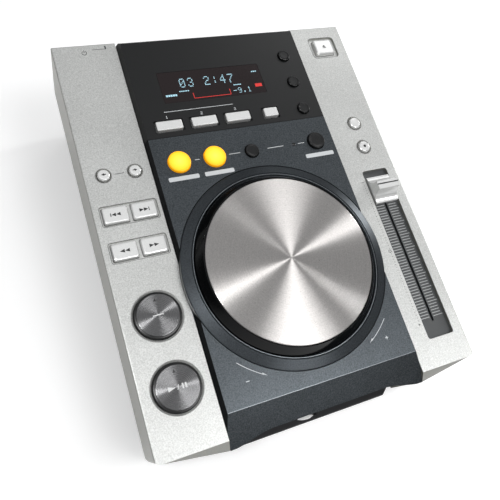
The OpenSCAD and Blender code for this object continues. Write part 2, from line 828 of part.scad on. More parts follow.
module fader_pot() {
    top = bed_top - bed_t;
    color("#9a9c9e") on_deck() key_place(fader_u, stroke_mid) difference() {
        block([-pot_w / 2, pot_w / 2], [-stroke / 2 - pot_end, stroke / 2 + pot_end], [pot_n, top]);
        block([-lever_slot / 2 - 0.3, lever_slot / 2 + 0.3],
              [-stroke / 2 - lever_d / 2 - 1, stroke / 2 + lever_d / 2 + 1], [pot_floor, 0]);
    }
}

module fader_lever() {
    color("#a8a9aa") on_deck() key_place(fader_u, cap_v)
        block([-lever_t / 2, lever_t / 2], [-lever_d / 2, lever_d / 2], [lever_n, lever_up]);
}

// Cap with hollowed flanks that sweep up to a blade across its middle
module fader_cap() {
    foot_top = 0.9;
    steps = 8;
    drop = cap_d / 2 - blade_d / 2;
    rise = cap_top - 1.6 - foot_top;
    flank = [for (i = [0:steps]) let (a = 90 * i / steps)
        [blade_d / 2 + drop * (1 - sin(a)), foot_top + rise * (1 - cos(a))]];
    color("#e2e3e2") on_deck() key_place(fader_u, cap_v) difference() {
        intersection() {
            along_u(-cap_w / 2, cap_w / 2) polygon(concat(
                [[cap_d / 2, cap_foot]], flank,
                [[blade_d / 2, cap_top - 0.4], [blade_d / 2 - 0.4, cap_top],
                 [-blade_d / 2 + 0.4, cap_top], [-blade_d / 2, cap_top - 0.4]],
                [for (i = [steps:-1:0]) [-flank[i][0], flank[i][1]]],
                [[-cap_d / 2, cap_foot]]
            ));
            along_v(-cap_d, cap_d) polygon([
                [-cap_w / 2, cap_foot], [cap_w / 2, cap_foot], [cap_w / 2, foot_top],
                [cap_w / 2 - 0.8, cap_top], [-cap_w / 2 + 0.8, cap_top], [-cap_w / 2, foot_top]
            ]);
        }
        block([-lever_t / 2 - running, lever_t / 2 + running],
              [-lever_d / 2 - running, lever_d / 2 + running], [cap_foot - 1, lever_up + running]);
    }
}

// ---- Boards ----

module left_board() {
    color("#2f5a3a") on_deck() {
        block([post_r + 1.6 - post_u, -side_in - flange_t - 2], [play_v - 14, folder_v + 18],
              [side_board_n - board_t, side_board_n]);
        for (v = [play_v, cue_v]) tact_switch(left_u, v, side_board_n);
        for (v = [search_v, track_v], s = [-1, 1]) tact_switch(left_u + s * pair_step, v, side_board_n);
        for (s = [-1, 1]) tact_switch(left_u + s * (folder_half - 1), folder_v, side_board_n);
    }
}

module right_board() {
    color("#2f5a3a") on_deck() {
        block([right_keys_u - 10, post_u - post_r - 1.5], [lock_v - 8, eject_v + 10],
              [side_board_n - board_t, side_board_n]);
        for (v = [lock_v, range_v, eject_v]) tact_switch(right_keys_u, v, side_board_n);
    }
}

module deck_board() {
    board_half = block_half - block_lean - 4.6;
    color("#2f5a3a") on_deck() {
        block([-board_half, board_half], [loop_v - 11, housing_back - wall - 1],
              [block_board_n - board_t, block_board_n]);
        for (u = [loop_in_u, loop_out_u, reloop_u, mode_u]) tact_switch(u, loop_v, block_board_n);
        for (u = [bar_u, bar_u + bar_pitch, bar_u + 2 * bar_pitch, hold_u])
            tact_switch(u, bar_v, block_board_n);
        for (v = mode_v) tact_switch(mode_u, v, block_board_n);
        key_place(lamp_u, loop_v) disc(1, block_board_n, block_h - 0.5);
    }
}

module main_board() {
    corner = 5;
    chip_h = 2.4;
    cap_can_r = 4;                               // radius of the three capacitors
    // Chips: place across, share of the board's depth, side
    chips = [[-10, 0.35, 20], [30, 0.4, 24], [62, 0.32, 14], [70, 0.67, 12]];
    color("#2b5e3c") difference() {
        block([main_left, main_right], [main_front, main_back], [main_z, main_z + board_t]);
        for (x = [main_left + corner, main_right - corner], y = [main_front + corner, main_back - corner])
            translate([x, y, main_z - 1]) cylinder(r = screw_clear_r, h = board_t + 2);
    }
    color("#b8a05a")
        for (x = [main_left + corner, main_right - corner], y = [main_front + corner, main_back - corner])
            translate([x, y, floor_z]) cylinder(r = 3, h = main_z - floor_z);
    color("#1c1d1f") for (p = chips)
        translate([p[0] - p[2] / 2, main_front + p[1] * main_d - p[2] / 2, main_z + board_t])
            cube([p[2], p[2], chip_h]);
    color("#2c3c66") for (i = [0:2])
        translate([main_left + 14 + 3 * cap_can_r * i, main_front + 0.717 * main_d, main_z + board_t])
            cylinder(r = cap_can_r, h = 3 * cap_can_r);
}

module power_unit() {
    x0 = 8 - tray_half;
    unit_w = 48;
    coil_out = 0.07 * main_d;
    core_d = 0.46 * main_d;
    y0 = main_front + coil_out;
    board_y = [y0 + 0.58 * main_d, y0 + 0.76 * main_d];
    color("#3c3d40") {
        block([x0, x0 + unit_w], [y0, y0 + core_d], [floor_z, floor_z + 32]);
        block([x0 + 8, x0 + unit_w - 8], [y0 - coil_out, y0 + core_d + coil_out],
              [floor_z + 8, floor_z + 24]);
    }
    color("#b8a05a") for (x = [x0 + 4, x0 + unit_w - 4])
        translate([x, (board_y[0] + board_y[1]) / 2, floor_z]) cylinder(r = 3, h = main_z - floor_z);
    color("#2b5e3c") block([x0, x0 + unit_w], board_y, [main_z, main_z + board_t]);
    color("#1c1d1f")
        block([power_x - 6, power_x + 6], [board_y[0] + 2, board_y[1] - 2],
              [main_z + board_t, power_z + 6]);
}

// ---- Base ----

module base_tray() {
    y1 = panel_in - seam;
    back_step = deck_y(top_len - wall - 1, tray_flange_n);   // the walls drop to pass under the back walls
    under_back = -skirt_h - seat;
    wall_top = tray_flange_n + steel_t / 2;
    vent_pitch = (drive_half - 6) / 5;
    flange_half = half_w - wall - 0.5;
    color("#1f2022") {
        difference() {
            block([-tray_half, tray_half], [tray_front, y1], [foot_h, floor_z]);
            for (i = [-5:5]) let (x = i * vent_pitch) block([x - 1.5, x + 1.5],
                [main_front + 2, main_front + 0.43 * main_d], [foot_h - 1, floor_z + 1]);
        }
        for (s = [-1, 1]) along_u(s > 0 ? tray_half - steel_t : -tray_half,
                                  s > 0 ? tray_half : -tray_half + steel_t)
            polygon([[tray_front, foot_h], [y1, foot_h], [y1, plane_z(y1, under_back)],
                     [back_step, plane_z(back_step, under_back)],
                     [back_step, plane_z(back_step, wall_top)],
                     [tray_front, plane_z(tray_front, wall_top)]]);
        block([-tray_half, tray_half], [tray_front, tray_front + steel_t],
              [foot_h, plane_z(tray_front, tray_flange_n)]);
        on_deck() for (s = [-1, 1]) difference() {
            block(s > 0 ? [tray_half - steel_t, flange_half] : [-flange_half, steel_t - tray_half],
                  [5, top_len - wall - 3], [tray_flange_n, tray_flange_n + steel_t]);
            for (v = s > 0 ? right_posts : left_posts)
                key_place(s * post_u, v) disc(screw_clear_r, tray_flange_n - 1, 0);
        }
    }
}

module rear_panel() {
    lip_n = -skirt_h - seat;
    lip_half = tray_half - steel_t - seam;
    y1 = panel_in + steel_t;
    color("#232427") difference() {
        union() {
            along_u(-tray_half, tray_half) polygon([
                [panel_in, foot_h], [y1, foot_h], [y1, plane_z(y1, lip_n)],
                [panel_in, plane_z(panel_in, lip_n)]
            ]);
            along_u(-lip_half, lip_half) polygon([
                [panel_in - 8, plane_z(panel_in - 8, lip_n - steel_t)],
                [y1, plane_z(y1, lip_n - steel_t)], [y1, plane_z(y1, lip_n)],
                [panel_in - 8, plane_z(panel_in - 8, lip_n)]
            ]);
        }
        block([power_x - power_w / 2 - key_fit, power_x + power_w / 2 + key_fit],
              [panel_in - 1, y1 + 1], [power_z - power_w / 2 - key_fit, power_z + power_w / 2 + key_fit]);
        for (x = phono_x) translate([x, panel_in - 1, jack_z]) rotate([-90, 0, 0])
            cylinder(r = jack_r + seam, h = steel_t + 2);
        translate([control_x, panel_in - 1, jack_z]) rotate([-90, 0, 0])
            cylinder(r = 3.3 + seam, h = steel_t + 2);
        block([inlet_x - socket_w / 2 - 1.5, inlet_x + socket_w / 2 + 1.5], [panel_in - 1, y1 + 1],
              [inlet_z - socket_h / 2 - 1.5, inlet_z + socket_h / 2 + 1.5]);
    }
}

module feet() {
    color("#26272a") for (x = [18 - tray_half, tray_half - 18], y = [tray_front + 20, panel_in - 24.5])
        translate([x, y, 0]) rotate_extrude() polygon([
            [0, 0], [foot_r - 1, 0], [foot_r, 1], [foot_r - 0.6, foot_h], [0, foot_h]
        ]);
}

module case_screws() {
    color("#8b8d90") on_deck() for (s = [-1, 1], v = s > 0 ? right_posts : left_posts)
        key_place(s * post_u, v) {
            disc(pilot_r - running, tray_flange_n, tray_flange_n + 11);
            disc(2.7, tray_flange_n - 1.8, tray_flange_n);
        }
}

module power_key() {
    y1 = top_y + rear_y;
    color("#1a1b1d") {
        block([power_x - power_w / 2, power_x + power_w / 2], [panel_in - 6, y1 + power_out],
              [power_z - power_w / 2, power_z + power_w / 2]);
        block([power_x - power_w / 2 - 1.2, power_x + power_w / 2 + 1.2],
              [panel_in - 6, panel_in - seat],
              [power_z - power_w / 2 - 1.2, power_z + power_w / 2 + 1.2]);
    }
}

// Two phono jacks and a control jack on one bracket behind the panel
module line_jacks() {
    y1 = top_y + rear_y;
    color("#2a2b2d") {
        block([phono_x[0] - 8, control_x + 8], [panel_in - 12, panel_in - seat],
              [main_z + board_t, jack_z + 8]);
    }
    color("#c9a94e") for (x = phono_x) translate([x, panel_in - 1, jack_z]) rotate([-90, 0, 0])
        difference() {
            union() {
                cylinder(r = jack_r - 0.4, h = steel_t + 1 + seam);
                translate([0, 0, steel_t + 1 + seam]) cylinder(r = jack_r, h = jack_out - seam);
            }
            translate([0, 0, 5]) cylinder(r = phono_hole, h = jack_out);
        }
    color("#3a3b3d") translate([control_x, panel_in - 1, jack_z]) rotate([-90, 0, 0])
        difference() {
            cylinder(r = 3.3, h = steel_t + 2.5);
            translate([0, 0, 0.5]) cylinder(r = 1.8, h = steel_t + 4);
        }
}

module power_inlet() {
    y1 = top_y + rear_y;
    body = 1.2;
    color("#1b1c1e") translate([inlet_x, 0, inlet_z]) {
        difference() {
            union() {
                block([-inlet_w / 2, inlet_w / 2], [y1, y1 + 2], [-inlet_h / 2, inlet_h / 2]);
                block([-socket_w / 2 - body, socket_w / 2 + body], [y1 - socket_d - 2, y1 + 1],
                      [-socket_h / 2 - body, socket_h / 2 + body]);
            }
            translate([0, y1 - socket_d, 0]) rotate([-90, 0, 0]) linear_extrude(socket_d + 3) {
                square([socket_w - socket_h, socket_h], center = true);
                for (s = [-1, 1]) translate([s * (socket_w - socket_h) / 2, 0]) circle(socket_h / 2);
            }
        }
    }
    color("#b9bbbd") for (s = [-1, 1]) translate([inlet_x + s * 4.6, y1 - socket_d - eps, inlet_z])
        rotate([-90, 0, 0]) cylinder(r = 1.1, h = socket_d - 1.5);
}

module slot_fascia() {
    y0 = top_y + fascia_front;
    lip_front = top_y - 2.3;
    half = block_half - seam;
    slot_half = half - 3.3;
    lens_half = 7.5;
    lens_rise = 1.7;
    lens_r = (lens_half * lens_half + lens_rise * lens_rise) / (2 * lens_rise);
    lens_y = top_y + 1;
    color("#15161a") difference() {
        union() {
            block([-half, half], [y0, y0 + fascia_t], [foot_h, plane_z(y0, flange_n) - seam]);
            intersection() {
                along_u(-half, half) polygon([
                    [y0 + 1, foot_h], [lip_front + 1.5, foot_h], [lip_front, foot_h + 2],
                    [lip_front, foot_h + 5], [lip_front + 1, foot_h + 6], [y0 + 1, foot_h + 11]
                ]);
                translate([0, 0, foot_h]) linear_extrude(14) polygon([
                    [-half, y0 + 2], [-half, y0 - 2], [-half + 5, lip_front], [half - 5, lip_front],
                    [half, y0 - 2], [half, y0 + 2]
                ]);
            }
        }
        block([-slot_half, slot_half], [y0 - 1, y0 + fascia_t + 1],
              [disc_z - slot_h / 2, disc_z + slot_h / 2]);
        intersection() {
            translate([0, lens_y + lens_r - lens_rise, foot_h - 1]) cylinder(r = lens_r, h = 20, $fn = 96);
            translate([0, lens_y - lens_r + lens_rise, foot_h - 1]) cylinder(r = lens_r, h = 20, $fn = 96);
        }
    }
}

// ---- Disc drive ----

module drive_frame() {
    hole = rod_r + 0.02;
    color("#9fa2a5") difference() {
        union() {
            block([-drive_half, drive_half], [drive_front, drive_back], [plate_z, plate_z + plate_h]);
            for (s = [-1, 1]) {
                block(s > 0 ? [drive_half - drive_wall, drive_half] : [-drive_half, drive_wall - drive_half],
                      [drive_front, drive_y + 58], [plate_z, drive_wall_top]);
                for (y = [drive_front + 14, drive_back - 8]) translate([s * (drive_half - 8), y, floor_z])
                    cylinder(r = 4, h = plate_z - floor_z + eps);
                block(s > 0 ? [ear_x, ear_x + ear_t] : [-ear_x - ear_t, -ear_x],
                      [hinge_y - 5, hinge_y + 5], [plate_z, hinge_z + 4]);
            }
            for (y = [block_front, block_rear])
                block([-rod_x - 4, screw_x + 4], [y, y + block_t], [plate_z - block_drop, plate_z + eps]);
        }
        block([-window_x, window_x], [block_front + block_t + 0.5, block_rear - 0.5],
              [plate_z - 1, plate_z + plate_h + 1]);
        translate([0, drive_y, plate_z - 1]) cylinder(r = 3, h = plate_h + 2);
        for (x = [-rod_x, rod_x]) translate([x, block_front - 1, rod_z]) rotate([-90, 0, 0])
            cylinder(r = hole, h = block_rear + block_t - block_front + 2);
        translate([screw_x, block_front - 1, rod_z]) rotate([-90, 0, 0])
            cylinder(r = screw_journal + running, h = block_rear + block_t - block_front + 2);
        translate([-drive_half - 1, roller_y, roller_z]) rotate([0, 90, 0])
            cylinder(r = journal_r + running, h = 2 * drive_half + 2);
        translate([-ear_x - ear_t - 1, hinge_y, hinge_z]) rotate([0, 90, 0])
            cylinder(r = pin_r + running, h = 2 * (ear_x + ear_t + 1));
    }
}

module guide_rods() {
    color("#d0d2d4") for (x = [-rod_x, rod_x]) translate([x, block_front, rod_z]) rotate([-90, 0, 0])
        cylinder(r = rod_r, h = block_rear + block_t - block_front);
}

module drive_motors() {
    color("#aeb1b4") {
        difference() {
            translate([0, drive_y, plate_z - motor_h]) cylinder(r = motor_r, h = motor_h);
            translate([0, drive_y, plate_z - 6]) cylinder(r = screw_journal + running, h = 7);
        }
        difference() {
            translate([screw_x, block_rear + block_t, rod_z]) rotate([-90, 0, 0])
                cylinder(r = feed_motor_r, h = 18);
            translate([screw_x, block_rear, rod_z]) rotate([-90, 0, 0])
                cylinder(r = screw_journal + running, h = 14);
        }
        difference() {
            translate([-drive_half, roller_y, roller_z]) rotate([0, -90, 0])
                cylinder(r = load_motor_r, h = 20);
            translate([-drive_half + 1, roller_y, roller_z]) rotate([0, -90, 0])
                cylinder(r = journal_r + running, h = 8);
        }
    }
}

module turntable_hub() {
    color("#3a3c3f") translate([0, drive_y, 0]) rotate_extrude() polygon([
        [0, plate_z - 5], [screw_journal, plate_z - 5], [screw_journal, plate_z + plate_h + 0.5],
        [5, plate_z + plate_h + 0.5], [5, disc_under - 2], [15, disc_under - 2], [15, disc_under],
        [7.4, disc_under], [6.8, puck_z - seat], [0, puck_z - seat]
    ]);
}

module pickup_sled() {
    y0 = drive_y + sled_at;
    top = disc_under - 3.4;
    color("#2d2f33") difference() {
        union() {
            block([-rod_x - 4.5, rod_x + 4.5], [y0 - sled_half, y0 + sled_half],
                  [rod_z - 2.6, rod_z + 2.6]);
            block([-12, 12], [y0 - 8, y0 + 8], [rod_z, top]);
            block([rod_x, screw_x - screw_r - seat], [y0 - 4, y0 + 4], [rod_z - 1.5, rod_z + 1.5]);
        }
        for (x = [-rod_x, rod_x]) translate([x, y0 - sled_half - 1, rod_z]) rotate([-90, 0, 0])
            cylinder(r = rod_r + running, h = 2 * sled_half + 2);
    }
    color("#7f8fb0") translate([0, y0 - 4.5, top]) rotate_extrude() polygon([
        [0, 0], [3.4, 0], [3.4, 0.8], [2.2, 1.1], [1.2, 1.4], [0, 1.5]
    ]);
}

module feed_screw() {
    y0 = block_front + 0.4;
    color("#c4c6c8") translate([screw_x, 0, rod_z]) rotate([-90, 0, 0]) {
        translate([0, 0, y0]) cylinder(r = screw_journal, h = block_rear + block_t + 8 - y0);
        translate([0, 0, block_front + block_t + seat])
            cylinder(r = screw_r, h = block_rear - block_front - block_t - 2 * seat);
    }
}

module loading_roller() {
    inner = drive_half - drive_wall;
    color("#202124") translate([0, roller_y, roller_z]) rotate([0, 90, 0]) {
        translate([0, 0, -inner + 4]) cylinder(r = roller_r, h = 2 * (inner - 4));
        translate([0, 0, -inner - drive_wall - 5]) cylinder(r = journal_r, h = 2 * inner + drive_wall + 6.5);
    }
}

// Arm with its clamp puck, resting on its lower stop over the turntable
module clamp_arm() {
    color("#a5a8ab") {
        difference() {
            block([-arm_half, arm_half], [drive_y - puck_r, hinge_y], [hinge_z - 1, hinge_z - 1 + arm_t]);
            for (s = [-1, 1]) block([s * 19 - 6, s * 19 + 6], [drive_y + 14, hinge_y - 10],
                [hinge_z - 2, hinge_z + 2]);
        }
        translate([-arm_half, hinge_y, hinge_z]) rotate([0, 90, 0]) cylinder(r = 2.6, h = 2 * arm_half);
        translate([-ear_x - ear_t + 0.3, hinge_y, hinge_z]) rotate([0, 90, 0])
            cylinder(r = pin_r, h = 2 * (ear_x + ear_t - 0.3));
        translate([0, drive_y, 0]) rotate_extrude() polygon([
            [0, puck_z + 2.4], [9, puck_z + 2.4], [9, puck_z], [puck_r, puck_z], [puck_r, puck_z + 3.4],
            [4, puck_z + 3.4], [4, hinge_z], [0, hinge_z]
        ]);
    }
}

left_cover();
right_cover();
center_deck();
display_housing();
display_window();
jog_ring();
jog_bearing();
fader_bed();
fader_pot();
slot_fascia();
base_tray();
rear_panel();
feet();
case_screws();
main_board();
left_board();
right_board();
deck_board();
display_module();
power_unit();
drive_frame();
guide_rods();
drive_motors();
line_jacks();
power_inlet();
jog_dial();
jog_plate();
jog_shaft();
cue_button();
cue_cap();
play_button();
play_cap();
search_back_key();
search_ahead_key();
track_back_key();
track_ahead_key();
folder_back_key();
folder_ahead_key();
eject_key();
range_key();
tempo_lock_key();
fader_cap();
fader_lever();
effect_key_a();
effect_key_b();
effect_key_c();
hold_key();
text_key();
time_key();
auto_cue_key();
loop_in_key();
loop_out_key();
reloop_key();
beat_loop_key();
power_key();
turntable_hub();
pickup_sled();
feed_screw();
loading_roller();
clamp_arm();
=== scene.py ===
# %% [markdown]
# # A tabletop disc player for a DJ booth
# This lesson dresses a finished set of solids: two silver side covers, a slate deck with a large
# jog dial, a black display housing, keys, a tempo fader and the disc drive inside.
# The solids already have their real size and place, so the work here is surface: paint, steel,
# printed marks, light and camera. Nothing is moved, because the moving pieces turn on these
# places.

# %% Load the solids
import math

import bmesh
import bpy
from mathutils import Matrix, Vector


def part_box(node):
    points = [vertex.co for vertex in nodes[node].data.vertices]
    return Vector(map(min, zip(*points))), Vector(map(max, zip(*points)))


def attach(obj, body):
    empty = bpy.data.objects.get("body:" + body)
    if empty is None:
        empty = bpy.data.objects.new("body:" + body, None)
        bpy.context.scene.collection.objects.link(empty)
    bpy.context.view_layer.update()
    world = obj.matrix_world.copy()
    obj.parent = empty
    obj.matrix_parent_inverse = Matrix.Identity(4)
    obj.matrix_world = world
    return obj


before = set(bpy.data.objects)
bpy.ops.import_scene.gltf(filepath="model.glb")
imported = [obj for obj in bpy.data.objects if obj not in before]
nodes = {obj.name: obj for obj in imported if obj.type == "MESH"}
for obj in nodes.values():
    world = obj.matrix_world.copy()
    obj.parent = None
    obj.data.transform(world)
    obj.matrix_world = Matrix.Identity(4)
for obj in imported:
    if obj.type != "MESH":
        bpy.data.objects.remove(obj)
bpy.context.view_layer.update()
MM = 0.001

# %% [markdown]
# The controls lie on a deck that slopes by 8 degrees. Every mark is easier to place in the deck's
# own frame: u to the right, v from the front edge to the back along the silver face, n square to
# it. One matrix lays whole meshes on the deck, and one function turns a single (u, v, n) in
# millimetres into its place in the room.
# The slate deck stands BLOCK_H above the silver face, and the jog turns about u = 0, v = JOG_V.
# The keys of the two silver covers stand in columns at LEFT_U and RIGHT_U; cue and play are the
# front two of the left column.

# %% The deck's own frame
SLOPE = math.radians(8)
TOP_Y = -141.4893
FRONT_Z = 64.0
BLOCK_H = 4.6
JOG_V = 89.7
LEFT_U = -86.9
RIGHT_U = 90.0
PLAY_V = 35.2
CUE_V = 77.5
CAP_TOP = 2.6

deck_frame = Matrix.Translation(Vector((0, TOP_Y, FRONT_Z)) * MM) @ Matrix.Rotation(SLOPE, 4, "X")


def deck(u, v, n):
    return deck_frame @ (Vector((u, v, n)) * MM)


jog_centre = deck(0, JOG_V, 0)
print("jog centre at", [round(c, 4) for c in jog_centre])

# %% [markdown]
# The photograph was taken from above the front left corner, tilted a little. The camera's place
# and turn were solved from the four corners of the sloping face, so they are simply stated here.

# %% Camera
CAMERA_MM = (-135.13, -166.18, 370.55)
CAMERA_DEGREES = (28.059, -12.456, -20.039)
LENS_MM = 38.35

camera = bpy.data.objects.new("camera", bpy.data.cameras.new("camera"))
bpy.context.scene.collection.objects.link(camera)
camera.location = Vector(CAMERA_MM) * MM
camera.rotation_euler = [math.radians(a) for a in CAMERA_DEGREES]
camera.data.lens = LENS_MM
camera.data.clip_start = 0.01
bpy.context.scene.camera = camera
bpy.context.scene.view_settings.view_transform = "Standard"
print("camera lens", camera.data.lens)

# %% [markdown]
# Colours are picked as hex codes, the way a colour chart gives them. Renderers add light in linear
# values, so one function turns a code into linear colour.
# One more function adds a shader node, sets its options and fills its inputs: a value is set on
# the input, and another node's output is linked to it.
# A noise texture mostly gives values from 0.3 to 0.7. The last function gives the inputs of a Map
# Range node that spreads them over a middle value, give or take a half width.

# %% Colours and shader nodes


def linear(code):
    channels = [int(code[i:i + 2], 16) / 255 for i in (1, 3, 5)]
    return [c / 12.92 if c <= 0.04045 else ((c + 0.055) / 1.055) ** 2.4 for c in channels] + [1.0]


def add(tree, kind, inputs=None, **options):
    made = tree.nodes.new("ShaderNode" + kind)
    for name, value in options.items():
        setattr(made, name, value)
    for name, value in (inputs or {}).items():
        if isinstance(value, bpy.types.NodeSocket):
            tree.links.new(value, made.inputs[name])
        else:
            made.inputs[name].default_value = value
    return made


def new_material(name):
    material = bpy.data.materials.new(name)
    material.use_nodes = True
    material.node_tree.nodes.clear()
    return material, material.node_tree


def close(tree, shader):
    add(tree, "OutputMaterial", {"Surface": shader.outputs[0]})


def around(middle, half):
    return {"From Min": 0.3, "From Max": 0.7, "To Min": middle - half, "To Max": middle + half}


print("mid grey is", [round(c, 3) for c in linear("#808080")])

# %% [markdown]
# ## Silver paint on ABS
# The side covers are moulded ABS, sprayed with satin silver paint. Fine aluminium flakes make it
# sparkle, and they turn darker as the face tilts away from the light, which a plain grey does not
# do. A part-metallic surface with a fine grain in colour, roughness and height gives both. Real
# flakes are about 0.05 mm, too fine for this picture, so they are drawn at 0.75 mm. A wide, weak
# cloud shifts the tone as an uneven spray does.
# Upright walls take a colour of their own, picked by which way the face points: `wall` holds the
# wall's colour, the axis of the normal that is looked at, and the two values of it between which
# the colour changes. On the silver covers that darker wall colour is painted shade.

# %% Silver paint
GRAIN_MM = 0.75
CLOUD_MM = 45
CLOUD_SHARE = 0.2


def flake_paint(name, dark, light, metallic, rough, wall=None, sparkle=0.16):
    material, tree = new_material(name)
    place = add(tree, "TexCoord")
    grain = add(tree, "TexNoise", {"Vector": place.outputs["Object"], "Detail": 2.0,
                                   "Scale": 1 / (GRAIN_MM * MM), "Roughness": 0.6})
    cloud = add(tree, "TexNoise", {"Vector": place.outputs["Object"], "Detail": 1.0,
                                   "Scale": 1 / (CLOUD_MM * MM)})
    tone = add(tree, "Math", {0: cloud.outputs["Fac"], 1: CLOUD_SHARE, 2: grain.outputs["Fac"]},
               operation="MULTIPLY_ADD")
    share = add(tree, "MapRange", {"Value": tone.outputs[0], "From Min": 0.42, "From Max": 0.78})
    colour = add(tree, "Mix", {"Factor": share.outputs[0], "A": linear(dark), "B": linear(light)},
                 data_type="RGBA")
    paint = colour.outputs["Result"]
    if wall:
        wall_colour, axis, start, end = wall
        turn = add(tree, "SeparateXYZ", {0: place.outputs["Normal"]})
        side = add(tree, "Math", {0: turn.outputs[axis]}, operation="ABSOLUTE")
        on_wall = add(tree, "MapRange", {"Value": side.outputs[0], "From Min": start,
                                         "From Max": end})
        walls = add(tree, "Mix", {"Factor": on_wall.outputs[0], "A": paint,
                                  "B": linear(wall_colour)}, data_type="RGBA")
        paint = walls.outputs["Result"]
    gloss = add(tree, "MapRange", {"Value": grain.outputs["Fac"], **around(rough, sparkle / 3)})
    bump = add(tree, "Bump", {"Height": grain.outputs["Fac"], "Strength": sparkle,
                              "Distance": 0.2 * MM})
    shader = add(tree, "BsdfPrincipled", {"Base Color": paint, "Metallic": metallic,
                                          "Roughness": gloss.outputs[0], "IOR": 1.5,
                                          "Normal": bump.outputs[0]})
    close(tree, shader)
    return material


# The silver's upright faces take #94948E: painted shade on the walls.
silver_paint = flake_paint("silver_paint_on_abs", "#B4B5B3", "#D4D5D3", metallic=0.5, rough=0.38,
                           wall=("#94948E", "Z", 0.8, 0.6), sparkle=0.1)
print("flake grain", GRAIN_MM, "mm")

# %% [markdown]
# ## Slate paint
# The deck round the jog wears the same kind of paint with dark flakes. Its two side walls are drawn
# near black: here the wall test looks along X.
# The ring round the dial is a little finer and glossier. A paler, more metallic slate is a painted
# highlight for two edges.

# %% Slate paint
slate_paint = flake_paint("slate_paint_on_abs", "#3D4144", "#565B5F", metallic=0.9, rough=0.37,
                          wall=("#0B0D11", "X", 0.7, 0.85))
ring_paint = flake_paint("slate_satin_ring", "#3A3E42", "#4B5054", metallic=0.7, rough=0.3,
                         sparkle=0.05)
# Painted highlight: a paler slate for thin lines along bright edges.
edge_highlight_paint = flake_paint("slate_edge_highlight", "#6E7377", "#8C9195", metallic=0.8, rough=0.3,
                        sparkle=0.02)
print("slate paints made")

# %% [markdown]
# ## Moulded plastics
# Moulded ABS has no pattern of its own: the tool's surface gives it either a polish or a fine
# spark texture. One recipe serves all of them, with a grain size and depth for the texture and a
# roughness that says how polished the tool was. `mirror` weakens the mirror image of the lamps
# where dark plastic looks deeper than its index of refraction alone would make it.
# The bright silver of the keys is sprayed, so it comes from the paint recipe.

# %% Moulded plastics


def moulded(name, colour, rough, grain_mm=0.4, depth=0.08, ior=1.5, mirror=0.5):
    material, tree = new_material(name)
    place = add(tree, "TexCoord")
    grain = add(tree, "TexNoise", {"Vector": place.outputs["Object"], "Detail": 3.0,
                                   "Scale": 1 / (grain_mm * MM)})
    lift = add(tree, "MapRange", {"Value": grain.outputs["Fac"], "To Min": 0.88, "To Max": 1.12})
    shade = add(tree, "HueSaturation", {"Color": linear(colour), "Value": lift.outputs[0]})
    gloss = add(tree, "MapRange", {"Value": grain.outputs["Fac"], **around(rough, 0.03)})
    bump = add(tree, "Bump", {"Height": grain.outputs["Fac"], "Strength": depth,
                              "Distance": 0.1 * MM})
    shader = add(tree, "BsdfPrincipled", {"Base Color": shade.outputs[0], "IOR": ior,
                                          "Roughness": gloss.outputs[0],
                                          "Specular IOR Level": mirror,
                                          "Normal": bump.outputs[0]})
    close(tree, shader)
    return material


panel_black = moulded("satin_black_abs", "#0F1011", rough=0.36, grain_mm=0.35, depth=0.05,
                      mirror=0.4)
gloss_black = moulded("polished_black_abs", "#040506", rough=0.08, grain_mm=0.8, depth=0.01,
                      mirror=0.22)
key_black = moulded("key_black_abs", "#0B0C0D", rough=0.3, grain_mm=0.3, depth=0.04, mirror=0.4)
lip_black = moulded("fascia_black_abs", "#0E0F12", rough=0.38, depth=0.1)
bed_grey = moulded("fader_bed_grey_abs", "#3F4142", rough=0.5, grain_mm=0.3, depth=0.1)
key_silver = flake_paint("bright_silver_on_abs", "#E2E3E2", "#EDEDEC", metallic=0.5, rough=0.26,
                         sparkle=0.01)
foot_rubber = moulded("moulded_rubber", "#1B1C1D", rough=0.75, grain_mm=0.5, depth=0.3)
drive_resin = moulded("drive_black_resin", "#222427", rough=0.45, depth=0.1)
bearing_resin = moulded("acetal_bearing", "#D8D6CE", rough=0.35, depth=0.05)
window_smoke = moulded("smoked_acrylic", "#170B0D", rough=0.16, grain_mm=0.6, depth=0.0, ior=1.49,
                       mirror=0.4)
print("plastics made")

# %% [markdown]
# ## Spun stainless steel
# The jog plate and the caps of cue and play are turned on a lathe against a fine abrasive. The
# grooves run in circles, so each light is drawn out into a pair of bright rays through the centre.
# A metal with anisotropy does this for any light and any view: its tangent runs round the axis,
# and a quarter turn points it across the grooves, the way in which such a surface is rough. The
# grooves are about 0.05 mm apart; rings 0.9 mm wide on the jog plate, and 0.5 mm wide on the caps,
# stand in for groups of them.
# Use leaves its trace too: a fine grit in the tone, and on the jog plate a few dark specks, which
# are small dots of a cell pattern that a second noise lets through only in places.

# %% Spun steel
GRIT_MM = 0.7
SPECK_MM = 2.2
SPECK_PATCH_MM = 6


